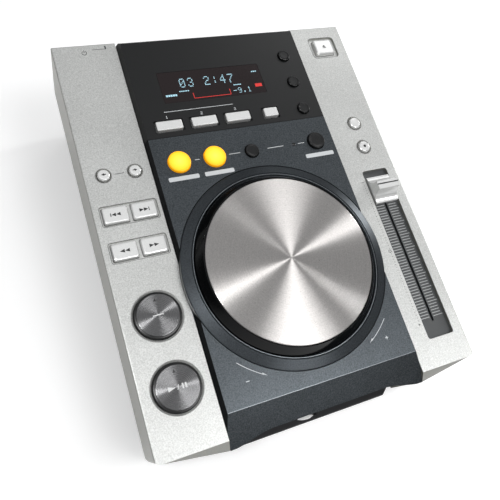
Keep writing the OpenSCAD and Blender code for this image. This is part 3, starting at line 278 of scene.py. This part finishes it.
def spun_steel(name, dark, light, rough, centre, groove_mm=0.9, speck=0.0):
    material, tree = new_material(name)
    place = add(tree, "TexCoord")
    arm = add(tree, "VectorMath", {0: place.outputs["Object"], 1: centre}, operation="SUBTRACT")
    radius = add(tree, "VectorMath", {0: arm.outputs["Vector"]}, operation="LENGTH")
    rings = add(tree, "TexNoise", {"W": radius.outputs["Value"], "Scale": 1 / (groove_mm * MM),
                                   "Detail": 3.0, "Roughness": 0.7}, noise_dimensions="1D")
    colour = add(tree, "Mix", {"Factor": rings.outputs["Fac"], "A": linear(dark),
                               "B": linear(light)}, data_type="RGBA")
    grit = add(tree, "TexNoise", {"Vector": place.outputs["Object"], "Detail": 2.0,
                                  "Scale": 1 / (GRIT_MM * MM)})
    lift = add(tree, "MapRange", {"Value": grit.outputs["Fac"], **around(0.98, 0.12)})
    worn = add(tree, "HueSaturation", {"Color": colour.outputs["Result"],
                                       "Value": lift.outputs[0]})
    metal = worn.outputs["Color"]
    if speck:
        dots = add(tree, "TexVoronoi", {"Vector": place.outputs["Object"],
                                        "Scale": 1 / (SPECK_MM * MM)})
        wanted = add(tree, "TexNoise", {"Vector": place.outputs["Object"],
                                        "Scale": 1 / (SPECK_PATCH_MM * MM)})
        small = add(tree, "MapRange", {"Value": dots.outputs["Distance"], "From Min": 0.05,
                                       "From Max": 0.12, "To Min": speck, "To Max": 0.0})
        some = add(tree, "MapRange", {"Value": wanted.outputs["Fac"], "From Min": 0.46,
                                      "From Max": 0.58})
        amount = add(tree, "Math", {0: small.outputs[0], 1: some.outputs[0]},
                     operation="MULTIPLY")
        specks = add(tree, "Mix", {"Factor": amount.outputs[0], "A": metal,
                                   "B": linear("#3C3835")}, data_type="RGBA")
        metal = specks.outputs["Result"]
    gloss = add(tree, "MapRange", {"Value": rings.outputs["Fac"], **around(rough, 0.015)})
    round_axis = add(tree, "Tangent", direction_type="RADIAL", axis="Z")
    shader = add(tree, "BsdfPrincipled", {"Base Color": metal, "Metallic": 1.0,
                                          "Roughness": gloss.outputs[0], "Anisotropic": 1.0,
                                          "Anisotropic Rotation": 0.25,
                                          "Tangent": round_axis.outputs[0]})
    close(tree, shader)
    return material


jog_steel = spun_steel("spun_stainless_steel", "#AEABA9", "#C2BFBD", rough=0.3,
                       centre=deck(0, JOG_V, 13), speck=0.7)
cue_steel = spun_steel("spun_dark_steel_cue", "#6C6C6D", "#828283", rough=0.27,
                       centre=deck(LEFT_U, CUE_V, CAP_TOP), groove_mm=0.5)
play_steel = spun_steel("spun_dark_steel_play", "#6C6C6D", "#828283", rough=0.27,
                        centre=deck(LEFT_U, PLAY_V, CAP_TOP), groove_mm=0.5)
print("spun steels made")

# %% [markdown]
# ## Inner metals
# Inside are zinc-plated steel, a powder-coated tray, motor cans, gold-plated jacks and boards.
# They show from below and behind and through the slot, so they get plain but true finishes. One
# recipe varies the tone in patches: plating has a wide crystal pattern, powder coating a fine one.
# Boards and glass are not metal, so they take the same recipe with no metallic share.

# %% Inner metals


def sheet_metal(name, dark, light, rough, metallic=1.0, patch_mm=6.0, depth=0.02):
    material, tree = new_material(name)
    place = add(tree, "TexCoord")
    patch = add(tree, "TexNoise", {"Vector": place.outputs["Object"], "Detail": 4.0,
                                   "Scale": 1 / (patch_mm * MM)})
    colour = add(tree, "Mix", {"Factor": patch.outputs["Fac"], "A": linear(dark),
                               "B": linear(light)}, data_type="RGBA")
    gloss = add(tree, "MapRange", {"Value": patch.outputs["Fac"], **around(rough, 0.05)})
    bump = add(tree, "Bump", {"Height": patch.outputs["Fac"], "Strength": depth,
                              "Distance": 0.2 * MM})
    shader = add(tree, "BsdfPrincipled", {"Base Color": colour.outputs["Result"],
                                          "Metallic": metallic, "Roughness": gloss.outputs[0],
                                          "Normal": bump.outputs[0]})
    close(tree, shader)
    return material


zinc_steel = sheet_metal("zinc_plated_steel", "#A3A6A8", "#B9BCBE", rough=0.32)
motor_steel = sheet_metal("nickel_plated_can", "#9B9DA0", "#B4B6B8", rough=0.25)
coated_steel = sheet_metal("powder_coated_steel", "#17181A", "#1F2023", rough=0.55, metallic=0.0,
                           patch_mm=0.6, depth=0.25)
gilt_brass = sheet_metal("gilt_brass", "#B98F45", "#D2AC63", rough=0.25)
core_steel = sheet_metal("varnished_core", "#2B2C2F", "#38393C", rough=0.4, metallic=0.6)
green_board = sheet_metal("glass_epoxy_board", "#174A2B", "#216339", rough=0.35, metallic=0.0,
                          patch_mm=2.0)
tube_glass = sheet_metal("display_glass", "#26302D", "#2F3A36", rough=0.15, metallic=0.0,
                         patch_mm=3.0)
print("metals made")

# %% [markdown]
# ## Lit amber keys
# The two loop keys are clear acrylic with a milky back, lit by a small lamp under the middle. So
# the middle is nearly yellow-white and the rim deep amber. The material sets both by the distance
# from the key's axis, and lets part of the colour shine by itself.

# %% Lit amber
LOOP_V = 170
LOOP_TOP = 6.5
LIT_FROM_MM = 0.5
LIT_TO_MM = 7.6


def lit_amber(name, centre):
    material, tree = new_material(name)
    place = add(tree, "TexCoord")
    arm = add(tree, "VectorMath", {0: place.outputs["Object"], 1: centre}, operation="SUBTRACT")
    radius = add(tree, "VectorMath", {0: arm.outputs["Vector"]}, operation="LENGTH")
    outwards = add(tree, "MapRange", {"Value": radius.outputs["Value"],
                                      "From Min": LIT_FROM_MM * MM, "From Max": LIT_TO_MM * MM})
    colour = add(tree, "ValToRGB", {0: outwards.outputs[0]})
    stops = colour.color_ramp.elements
    stops[0].color = linear("#FFD94F")
    stops[1].color = linear("#F0A408")
    middle = stops.new(0.7)
    middle.color = linear("#FFC526")
    shader = add(tree, "BsdfPrincipled", {"Base Color": colour.outputs[0], "Roughness": 0.22,
                                          "IOR": 1.49, "Emission Color": colour.outputs[0],
                                          "Emission Strength": 0.55})
    close(tree, shader)
    return material


amber_in = lit_amber("lit_amber_acrylic_in", deck(-48.9, LOOP_V, LOOP_TOP))
amber_out = lit_amber("lit_amber_acrylic_out", deck(-24.7, LOOP_V, LOOP_TOP))
print("amber made")

# %% [markdown]
# ## Which piece wears what
# Each solid keeps its own mesh. Only its material slot is filled, and smooth shading is switched
# on for faces that meet at less than 30 degrees, so turned forms look turned.

# %% Dress the solids
SHARP_DEGREES = 30

finish_of = {
    silver_paint: ["left_cover", "right_cover"],
    slate_paint: ["center_deck"],
    panel_black: ["display_housing"],
    window_smoke: ["display_window"],
    ring_paint: ["jog_ring"],
    gloss_black: ["jog_dial"],
    jog_steel: ["jog_plate"],
    cue_steel: ["cue_cap"],
    play_steel: ["play_cap"],
    key_black: ["cue_button", "play_button", "text_key", "time_key", "auto_cue_key",
                "reloop_key", "beat_loop_key", "power_key", "power_inlet"],
    key_silver: ["search_back_key", "search_ahead_key", "track_back_key", "track_ahead_key",
                 "folder_back_key", "folder_ahead_key", "eject_key", "range_key",
                 "tempo_lock_key", "effect_key_a", "effect_key_b", "effect_key_c", "hold_key",
                 "fader_cap"],
    amber_in: ["loop_in_key"],
    amber_out: ["loop_out_key"],
    bed_grey: ["fader_bed"],
    lip_black: ["slot_fascia"],
    coated_steel: ["base_tray", "rear_panel"],
    foot_rubber: ["feet", "loading_roller"],
    zinc_steel: ["case_screws", "fader_pot", "fader_lever", "drive_frame", "guide_rods",
                 "jog_shaft", "feed_screw", "clamp_arm"],
    motor_steel: ["drive_motors"],
    green_board: ["main_board", "left_board", "right_board", "deck_board"],
    tube_glass: ["display_module"],
    core_steel: ["power_unit"],
    drive_resin: ["turntable_hub", "pickup_sled"],
    bearing_resin: ["jog_bearing"],
    gilt_brass: ["line_jacks"],
}
for material, names in finish_of.items():
    for name in names:
        mesh = nodes[name].data
        mesh.materials.clear()
        mesh.materials.append(material)
        mesh.shade_smooth()
        mesh.set_sharp_from_angle(angle=math.radians(SHARP_DEGREES))
undressed = set(nodes) - {name for names in finish_of.values() for name in names}
print("solids without a finish:", sorted(undressed))

# %% [markdown]
# ## Printed marks
# Marks on a player are silk-screened: a thin film of ink, drawn here 0.04 mm thick. Each is drawn
# as outlines in the deck's frame and given that thickness, so it is a real piece that lies on the
# surface; it also reaches a little below it, so that no gap shows.
# The marks here are plain signs: arrows, lines, bars, dots and figures. First come the ink and the
# outlines they are made of.

# %% Ink and outlines
INK = 0.04
SINK = 0.02
CORNER_STEPS = 5


def ink(name, colour, glow=0.0):
    material, tree = new_material(name)
    place = add(tree, "TexCoord")
    screen = add(tree, "TexNoise", {"Vector": place.outputs["Object"], "Scale": 1 / (0.3 * MM)})
    lift = add(tree, "MapRange", {"Value": screen.outputs["Fac"], "To Min": 0.9, "To Max": 1.1})
    tone = add(tree, "HueSaturation", {"Color": linear(colour), "Value": lift.outputs[0]})
    shader = add(tree, "BsdfPrincipled", {"Base Color": tone.outputs[0], "Roughness": 0.5,
                                          "Emission Color": linear(colour),
                                          "Emission Strength": glow})
    close(tree, shader)
    return material


def circle(u, v, r, steps=24):
    turns = [2 * math.pi * i / steps for i in range(steps)]
    return [(u + r * math.cos(a), v + r * math.sin(a)) for a in turns]


def arc(u, v, r, start, end, steps=32):
    """Points on an open arc; angles in degrees, counted from the right."""
    angles = [math.radians(start + (end - start) * i / steps) for i in range(steps + 1)]
    return [(u + r * math.cos(a), v + r * math.sin(a)) for a in angles]


def bar(u, v, w, d, turn=0.0):
    c, s = math.cos(turn), math.sin(turn)
    corners = [(-w / 2, -d / 2), (w / 2, -d / 2), (w / 2, d / 2), (-w / 2, d / 2)]
    return [(u + x * c - y * s, v + x * s + y * c) for x, y in corners]


def plate(u, v, w, d, r):
    """A bar with corners rounded to r."""
    outline = []
    for x, y, start in ((1, 1, 0), (-1, 1, 90), (-1, -1, 180), (1, -1, 270)):
        for i in range(CORNER_STEPS + 1):
            a = math.radians(start + 90 * i / CORNER_STEPS)
            outline.append((u + x * (w / 2 - r) + r * math.cos(a),
                            v + y * (d / 2 - r) + r * math.sin(a)))
    return outline


def stroke(points, width):
    """A line of even width along points, as one outline."""
    left, right = [], []
    for i, (x, y) in enumerate(points):
        ahead = points[min(i + 1, len(points) - 1)]
        back = points[max(i - 1, 0)]
        along = Vector((ahead[0] - back[0], ahead[1] - back[1])).normalized()
        left.append((x - along.y * width / 2, y + along.x * width / 2))
        right.append((x + along.y * width / 2, y - along.x * width / 2))
    return left[::-1] + right


white_ink = ink("white_screen_ink", "#C3C6C8")
dark_ink = ink("dark_screen_ink", "#2F3133")
black_ink = ink("black_screen_ink", "#101112")
print("ink film", INK, "mm")

# %% [markdown]
# Two functions turn outlines into pieces. The first closes a mesh that was drawn in millimetres:
# it lays it at its place, gives it a material and lets it ride with a body, so that it moves with
# it. The second raises outlines into films of ink.

# %% From outline to piece


def to_piece(name, bm, place, body, material, smooth_degrees=0):
    bmesh.ops.recalc_face_normals(bm, faces=bm.faces)
    bm.transform(place @ Matrix.Scale(MM, 4))
    mesh = bpy.data.meshes.new(name)
    bm.to_mesh(mesh)
    bm.free()
    if smooth_degrees:
        mesh.shade_smooth()
        mesh.set_sharp_from_angle(angle=math.radians(smooth_degrees))
    piece = bpy.data.objects.new(name, mesh)
    bpy.context.scene.collection.objects.link(piece)
    mesh.materials.append(material)
    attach(piece, body)


def marks(name, outlines, n, body, material, sink=SINK):
    """Outlines in (u, v) become films from sink below n to INK above it, in one piece."""
    bm = bmesh.new()
    for outline in outlines:
        low = [bm.verts.new((x, y, n - sink)) for x, y in outline]
        high = [bm.verts.new((x, y, n + INK)) for x, y in outline]
        bm.faces.new(high)
        bm.faces.new(low[::-1])
        for i in range(len(outline)):
            j = (i + 1) % len(outline)
            bm.faces.new((low[i], low[j], high[j], high[i]))
    to_piece(name, bm, deck_frame, body, material)


print("a film is", round(INK + SINK, 3), "mm from its foot to its top")

# %% [markdown]
# ## Signs on the keys
# Arrows tell skip, search and folder keys apart, and the eject key has its triangle. A key's sign
# rides with the key, so it sinks when the key is pressed. The round keys are slightly domed, so
# their signs lie a little higher than KEY_TOP and reach deeper, to follow the dome.

# %% Key signs
KEY_TOP = 1.4
PAIR_STEP = 8.9
FOLDER_STEP = 9.85
SEARCH_V = 120.2
TRACK_V = 144
FOLDER_V = 171.2
LOCK_V = 161.5
RANGE_V = 181.5
EJECT_V = 250
FOLDER_RISE = 0.42
LOCK_RISE = 0.32
DEEP = 0.2
SEARCH_HEAD = (2.9, 2.3)
SKIP_HEAD = (2.7, 2.3)
FOLDER_HEAD = (1.9, 1.8)


def arrow_head(u, v, w, h, way):
    return [(u - way * w / 2, v - h / 2), (u + way * w / 2, v), (u - way * w / 2, v + h / 2)]


for side, name in ((-1, "back"), (1, "ahead")):
    u = LEFT_U + side * PAIR_STEP
    search = [arrow_head(u + shift, SEARCH_V, *SEARCH_HEAD, side) for shift in (-1.5, 1.5)]
    marks(f"search_{name}_sign", search, KEY_TOP, f"search_{name}", black_ink)
    skip = [arrow_head(u - side * 0.35 + shift, TRACK_V, *SKIP_HEAD, side)
            for shift in (-1.4, 1.4)]
    skip.append(bar(u + side * 2.85, TRACK_V, 0.5, 2.3))
    marks(f"track_{name}_sign", skip, KEY_TOP, f"track_{name}", black_ink)
    u = LEFT_U + side * FOLDER_STEP
    folder = [arrow_head(u + side * 0.55, FOLDER_V, *FOLDER_HEAD, side),
              bar(u - side * 0.9, FOLDER_V, 1.3, 0.55)]
    marks(f"folder_{name}_sign", folder, KEY_TOP + FOLDER_RISE, f"folder_{name}", black_ink, DEEP)
eject = [[(RIGHT_U - 1.5, EJECT_V - 0.3), (RIGHT_U + 1.5, EJECT_V - 0.3), (RIGHT_U, EJECT_V + 1.5)],
         bar(RIGHT_U, EJECT_V - 1.1, 3.0, 0.55)]
marks("eject_sign", eject, KEY_TOP, "eject", black_ink)
marks("tempo_lock_dot", [circle(RIGHT_U, LOCK_V, 1.05)], KEY_TOP + LOCK_RISE, "tempo_lock",
      black_ink, DEEP)
print("key signs placed")

# %% [markdown]
# A grey line round the rim of each key's pocket is painted shade, standing for the pocket's dark
# walls.

# %% Painted shade round the pockets
pocket_shade_lines = []
for u, v, w, d, r in ((LEFT_U, SEARCH_V, 35.6, 13.5, 1.7), (LEFT_U, TRACK_V, 35.6, 13.5, 1.7),
                      (RIGHT_U, EJECT_V, 22.1, 18.4, 3.1)):
    outline = plate(u, v, w, d, r)
    pocket_shade_lines.append(stroke(outline + outline[:1], 0.3))
for u, v, r in ((LEFT_U - FOLDER_STEP, FOLDER_V, 5.0), (LEFT_U + FOLDER_STEP, FOLDER_V, 5.0),
                (RIGHT_U, LOCK_V, 5.7), (RIGHT_U, RANGE_V, 5.7)):
    pocket_shade_lines.append(stroke(arc(u, v, r, 0, 356), 0.22))
marks("key_pocket_shade_lines", pocket_shade_lines, 0, "case", ink("painted_pocket_shade_grey", "#5A5C5C"))
print(len(pocket_shade_lines), "pocket lines")

# %% [markdown]
# The steel caps carry white ink: play and pause signs with a slash between them on the play cap,
# and a plain bar on the cue cap. Each has a small black triangle at its back edge.

# %% Signs on the cue and play caps
cap_white = ink("white_ink_on_steel", "#D6D7D7")
play = [arrow_head(LEFT_U - 3.6, PLAY_V, 4.2, 2.9, 1), bar(LEFT_U + 0.15, PLAY_V, 0.5, 3.0, -0.35),
        bar(LEFT_U + 2.9, PLAY_V, 0.95, 3.0), bar(LEFT_U + 4.7, PLAY_V, 0.95, 3.0)]
marks("play_sign", play, CAP_TOP, "play", cap_white)
for name, v in (("cue", CUE_V), ("play", PLAY_V)):
    lamp_mark = [[(LEFT_U - 0.8, v + 8.4), (LEFT_U + 0.8, v + 8.4), (LEFT_U, v + 9.9)]]
    marks(f"{name}_lamp_mark", lamp_mark, CAP_TOP, name, black_ink)
marks("cue_sign", [bar(LEFT_U, CUE_V, 6.4, 0.6)], CAP_TOP, "cue", cap_white)
print("cap signs placed")

# %% [markdown]
# ## Marks on the deck and the panels
# The slate deck has a curved arrow and a plus or minus on each side of the nose, lines that join
# the loop keys, and pale plates below them.

# %% Marks on the deck
ARROW_R = 72.5
ARROW_TIP = 31
ARROW_TAIL = 45
SIGN_U = 48
SIGN_V = 26.6

deck_lines = [bar(u, v, w, 0.45) for u, v, w in (
    (-36.8, 170, 3.2), (-10.6, 170.2, 8.0), (19.6, 170.2, 12.0), (39.3, 170.2, 5.0))]
for side in (-1, 1):
    curve = arc(0, JOG_V, ARROW_R, 270 + side * ARROW_TIP, 270 + side * ARROW_TAIL, 12)
    deck_lines.append(stroke(curve, 0.42))
    tip = math.radians(270 + side * ARROW_TIP)
    u, v = ARROW_R * math.cos(tip), JOG_V + ARROW_R * math.sin(tip)
    turn = tip - side * math.pi / 2
    c, s = math.cos(turn), math.sin(turn)
    head = [(-1.2, -0.9), (2.2, 0.0), (-1.2, 0.0)]
    deck_lines.append([(u + x * c - side * y * s, v + x * s + side * y * c) for x, y in head])
    deck_lines.append(bar(side * SIGN_U, SIGN_V, 2.2, 0.45))
deck_lines.append(bar(SIGN_U, SIGN_V, 0.45, 2.2))
marks("deck_lines", deck_lines, BLOCK_H, "case", white_ink)
label_plates = [plate(u, v, w, 3.0, 0.8) for u, v, w in (
    (-48.75, 158.7, 20.3), (-24.6, 158.7, 20.3), (50.4, 159.5, 21.9))]
marks("label_plates", label_plates, BLOCK_H, "case", white_ink)
print(len(deck_lines), "deck lines")

# %% [markdown]
# Two edges carry a painted highlight, where a small rounding would catch the lamps: the crease
# where the deck folds down to the nose, and the inner rim of the ring, close to the dial. Each is a
# thin line of the paler edge paint.

# %% Painted edge highlights
CREASE_V = 13.15
RIM_N = 7.1
RIM_OUTSIDE_DIAL = 1.25

marks("crease_edge", [bar(0, CREASE_V, 128.6, 0.3)], BLOCK_H, "case", edge_highlight_paint)
low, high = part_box("jog_dial")
dial_r = (high.x - low.x) / 2 / MM
rim = arc(0, JOG_V, dial_r + RIM_OUTSIDE_DIAL, 0, 359.5, 96)
marks("ring_rim_line", [stroke(rim, 0.3)], RIM_N, "case", edge_highlight_paint)
print("dial radius", round(dial_r, 2), "mm")

# %% [markdown]
# ## The display
# A vacuum display writes with small glowing pale blue dots behind smoked glass. Figures are drawn
# on a grid of 5 by 7 dots, each as seven rows where 1 is a lit dot.
# The same dots, printed small and white under a long line, number the three effect keys in front
# of the window.

# %% Figures of dots
FIGURES = {
    "0": "01110 10001 10011 10101 11001 10001 01110",
    "1": "00100 01100 00100 00100 00100 00100 01110",
    "2": "01110 10001 00001 00110 01000 10000 11111",
    "3": "01110 10001 00001 00110 00001 10001 01110",
    "4": "00010 00110 01010 10010 11111 00010 00010",
    "7": "11111 00001 00010 00100 01000 01000 01000",
    "9": "01110 10001 10001 01111 00001 00001 01110",
    ":": "00000 00100 00100 00000 00100 00100 00000",
    ".": "00000 00000 00000 00000 00000 01100 01100",
    "-": "00000 00000 00000 11111 00000 00000 00000",
    " ": "00000 00000 00000 00000 00000 00000 00000",
}


def dotted(text, left, top, pitch_u, pitch_v, step, size):
    """Square dots of a text that starts at left and top; each figure takes a width of step."""
    dots = []
    for place, figure in enumerate(text):
        for row, line in enumerate(FIGURES[figure].split()):
            for column, on in enumerate(line):
                if on == "1":
                    dots.append(bar(left + place * step + column * pitch_u, top - row * pitch_v,
                                    size, size))
    return dots


TINY = (204.6, 0.3, 0.3, 2.0, 0.3)  # top, pitch_u, pitch_v, step, size

panel_marks = [bar(-24.6, 207.5, 48.8, 0.4)]
for figure, name in zip("123", ("effect_key_a", "effect_key_b", "effect_key_c")):
    low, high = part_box(name)
    middle_u = (low.x + high.x) / 2 / MM
    panel_marks += dotted(figure, middle_u - 0.6, *TINY)
marks("panel_marks", panel_marks, BLOCK_H, "case", white_ink)
print(len(panel_marks), "panel marks")

# %% [markdown]
# The display shows a track number and a time, with the tempo in smaller figures below. Short rows
# of bars stand for lit segments, with a red bracket under the figures and a red block beside the
# tempo. All of it lies on the window's face and glows weakly, as light through smoked glass does.

# %% The display
LARGE = (-32.3, 231.6, 0.78, 1.05, 5.9, 0.66)  # left, top, pitch_u, pitch_v, step, size
SMALL = (4.0, 219.9, 0.52, 0.62, 3.6, 0.45)
WINDOW_N = BLOCK_H - 0.1


def row(u, v, w, d, steps):
    return [bar(u + step, v, w, d) for step in steps]


glow_blue = ink("vacuum_display_blue", "#9CC4D2", glow=0.45)
glow_red = ink("vacuum_display_red", "#C02A26", glow=0.4)
marks("display_figures", dotted("03 2:47", *LARGE), WINDOW_N, "case", glow_blue)
marks("display_tempo", dotted("-9.1", *SMALL), WINDOW_N, "case", glow_blue)
segments = (row(-40.5, 219.5, 1.3, 1.5, (-3.2, -1.6, 0, 1.6, 3.2))
            + row(-31, 222, 1.0, 0.7, (-3, -1.8, -0.6, 0.6, 1.8, 3))
            + row(8, 222.6, 1.0, 0.7, (-2.4, -1.2, 0, 1.2, 2.4))
            + row(23.5, 232, 1.0, 0.9, (-1.4, 0, 1.4)))
marks("display_bars", segments, WINDOW_N, "case", glow_blue)
red = [bar(-12, 215.6, 27.0, 0.4), bar(-25.3, 217.8, 0.4, 4.2), bar(1.3, 217.8, 0.4, 4.2),
       plate(23.7, 220.5, 5.2, 2.6, 0.3)]
marks("display_red", red, WINDOW_N, "case", glow_red)
print("display drawn")

# %% [markdown]
# ## The tempo scale
# The fader's bed has fine lines every 2 mm on both sides of the lever slot, longer every 10 mm.
# The silver cover beside it has a dot near each line, a small ring where the tempo is unchanged,
# and a minus and a plus at its ends. The fader's cap has one black line across it.

# %% The tempo scale
FADER_U = 90.65
MIDDLE_V = 81.2
BED_N = -2.5
SLOT_HALF = 1.6
SCALE_U = 77.6
PLUS_V = MIDDLE_V - 53
MINUS_V = MIDDLE_V + 53
CAP_LINE_V = 127.4
CAP_LINE_N = 9.6
TICK_MM = 2
DOT_MM = 2.02
STEPS = range(-25, 26)

tick_ink = ink("grey_tick_ink", "#A2A4A4")
ticks = []
for step in STEPS:
    length = 8.0 if step % 5 == 0 else 6.6
    for side in (-1, 1):
        ticks.append(bar(FADER_U + side * (SLOT_HALF + length / 2), MIDDLE_V + TICK_MM * step,
                         length, 0.5))
marks("tempo_ticks", ticks, BED_N, "case", tick_ink)
scale = [circle(77.9, MIDDLE_V + DOT_MM * step, 0.26, 8) for step in STEPS if step]
scale.append(stroke(arc(SCALE_U, MIDDLE_V, 0.95, 0, 350, 24), 0.35))
scale += [bar(SCALE_U, MINUS_V, 1.9, 0.35), bar(SCALE_U, PLUS_V, 1.9, 0.35),
          bar(SCALE_U, PLUS_V, 0.35, 1.9)]
marks("tempo_scale", scale, 0, "case", dark_ink)
marks("fader_line", [bar(FADER_U, CAP_LINE_V, 17.4, 0.95)], CAP_LINE_N, "fader", black_ink)
print(len(ticks), "ticks")

# %% [markdown]
# The silver covers carry little: the power sign with a line that turns to the rear edge, and a
# short line between the two folder keys.

# %% Marks on the silver covers
POWER_U = -88.5

silver_marks = [stroke(arc(POWER_U, 262.4, 1.5, 120, 420, 24), 0.4),
                bar(POWER_U, 263.6, 0.4, 2.0), bar(-78.5, 264.5, 9.0, 0.3),
                bar(-74.0, 265.6, 0.9, 2.6), bar(LEFT_U, FOLDER_V, 6.0, 0.35)]
marks("cover_marks", silver_marks, 0, "case", dark_ink)
print(len(silver_marks), "cover marks")

# %% [markdown]
# ## Small turned pieces
# The deck has a tiny lamp between the reloop and the beat loop keys, under a smoked lens that
# stands a little proud. At the back each phono jack has a coloured bushing, white for left and
# red for right. All are round, so an outline of radius and height is spun into a closed mesh. A
# point on the axis is one shared vertex, which is why each face drops corners that repeat.

# %% Lens and bushings
TURN_STEPS = 32
JACK_Y = 134.495
JACK_Z = 30


def turned(name, outline, place, body, material):
    bm = bmesh.new()
    rings = []
    for r, h in outline:
        if r == 0:
            rings.append([bm.verts.new((0, 0, h))] * TURN_STEPS)
        else:
            rings.append([bm.verts.new((x, y, h)) for x, y in circle(0, 0, r, TURN_STEPS)])
    for low, high in zip(rings, rings[1:] + rings[:1]):
        for i in range(TURN_STEPS):
            j = (i + 1) % TURN_STEPS
            corners = list(dict.fromkeys((low[i], low[j], high[j], high[i])))
            if len(corners) > 2:
                bm.faces.new(corners)
    to_piece(name, bm, place, body, material, smooth_degrees=40)


lens_outline = [(0, 3.2), (1.2, 3.2), (1.2, 4.7), (0.9, 4.95), (0.5, 5.08), (0, 5.12)]
lens_place = deck_frame @ Matrix.Translation((33.7 * MM, 170.2 * MM, 0))
lens_smoke = moulded("smoked_lens_acrylic", "#1A1B1C", rough=0.12, grain_mm=0.5, depth=0.0,
                     ior=1.49)
turned("loop_lamp_lens", lens_outline, lens_place, "case", lens_smoke)
bushing_outline = [(4.4, 0), (6.2, 0), (6.2, 0.7), (5.9, 1.0), (4.7, 1.0), (4.4, 0.7)]
backwards = Matrix.Rotation(-math.pi / 2, 4, "X")
for side, x, tint, colour in (("left", -24, "white", "#D9D7D0"), ("right", -8, "red", "#A3201C")):
    nylon = moulded(f"{tint}_nylon_bushing", colour, rough=0.45, grain_mm=0.5, depth=0.05)
    place = Matrix.Translation((x * MM, JACK_Y * MM, JACK_Z * MM)) @ backwards
    turned(f"jack_bushing_{side}", bushing_outline, place, "case", nylon)
print("lens and bushings turned")

# %% [markdown]
# ## Floor and light
# The player stands on a plain white sheet in a small studio. The floor shines a little by itself,
# but only for the camera and in reflections, so it is white and still keeps the shadow.

# %% Floor
FLOOR_HALF = 3
FLOOR_GLOW = 0.25

mesh = bpy.data.meshes.new("floor")
mesh.from_pydata([(x * FLOOR_HALF, y * FLOOR_HALF, 0)
                  for x, y in ((-1, -1), (1, -1), (1, 1), (-1, 1))], [], [(0, 1, 2, 3)])
piece = bpy.data.objects.new("floor", mesh)
bpy.context.scene.collection.objects.link(piece)
paper, tree = new_material("white_paper")
seen = add(tree, "LightPath")
first = add(tree, "Math", {0: seen.outputs["Is Camera Ray"], 1: seen.outputs["Is Glossy Ray"]},
            operation="MAXIMUM")
either = add(tree, "Math", {0: first.outputs[0], 1: seen.outputs["Is Transmission Ray"]},
             operation="MAXIMUM")
glow = add(tree, "Math", {0: either.outputs[0], 1: FLOOR_GLOW}, operation="MULTIPLY")
shader = add(tree, "BsdfPrincipled", {"Base Color": linear("#F4F4F4"), "Roughness": 0.9,
                                      "Specular IOR Level": 0.0,
                                      "Emission Color": linear("#FFFFFF"),
                                      "Emission Strength": glow.outputs[0]})
close(tree, shader)
mesh.materials.append(paper)
print("floor at z", piece.location.z)

# %% [markdown]
# A soft sky overhead fades towards the horizon, which keeps the upright walls dark. The camera
# itself sees plain white there, as in a studio.

# %% Sky
world = bpy.data.worlds.new("studio")
bpy.context.scene.world = world
world.use_nodes = True
sky = world.node_tree
sky.nodes.clear()
seen = add(sky, "LightPath")
way = add(sky, "TexCoord")
up = add(sky, "SeparateXYZ", {0: way.outputs["Generated"]})
fade = add(sky, "MapRange", {"Value": up.outputs["Z"], "From Min": 0.4, "From Max": 1.0,
                             "To Min": 0.05, "To Max": 0.68}, interpolation_type="SMOOTHSTEP")
dome = add(sky, "Background", {"Color": linear("#FDFEFF"), "Strength": fade.outputs[0]})
white = add(sky, "Background", {"Color": linear("#FFFFFF"), "Strength": 1.0})
choice = add(sky, "MixShader", {0: seen.outputs["Is Camera Ray"], 1: dome.outputs[0],
                                2: white.outputs[0]})
add(sky, "OutputWorld", {"Surface": choice.outputs[0]})
print("sky made")

# %% [markdown]
# Spun steel answers each lamp with a pair of rays, so the rays in the photograph tell where its
# lamps stood. Each row gives a lamp's direction in the deck's frame, seen from the jog's centre,
# then its width and height in metres and its power in watts. Lamps and sky together light a level
# face about as brightly as its colour is written.

# %% Lamps
LAMP_REACH = 1.1
LAMPS = (
    ("key_softbox", (0.30, -0.27, 0.91), (0.45, 0.45), 4.3),
    ("front_softbox", (0.22, -0.66, 0.71), (0.5, 0.3), 1.2),
    ("left_spot", (-0.37, 0.02, 0.93), (0.12, 0.12), 3.0),
    ("right_spot", (0.89, 0.34, 0.30), (0.15, 0.15), 3.4),
    ("right_front_spot", (0.70, -0.19, 0.69), (0.14, 0.14), 1.0),
    ("back_softbox", (0.51, 0.70, 0.49), (0.4, 0.4), 0.8),
)
for name, direction, size, power in LAMPS:
    data = bpy.data.lights.new(name, "AREA")
    data.shape = "RECTANGLE"
    data.size, data.size_y = size
    data.energy = power
    lamp = bpy.data.objects.new(name, data)
    bpy.context.scene.collection.objects.link(lamp)
    away = (deck_frame.to_3x3() @ Vector(direction)).normalized()
    lamp.location = jog_centre + away * LAMP_REACH
    lamp.rotation_euler = (-away).to_track_quat("-Z", "Y").to_euler()
print(len(LAMPS), "lamps")
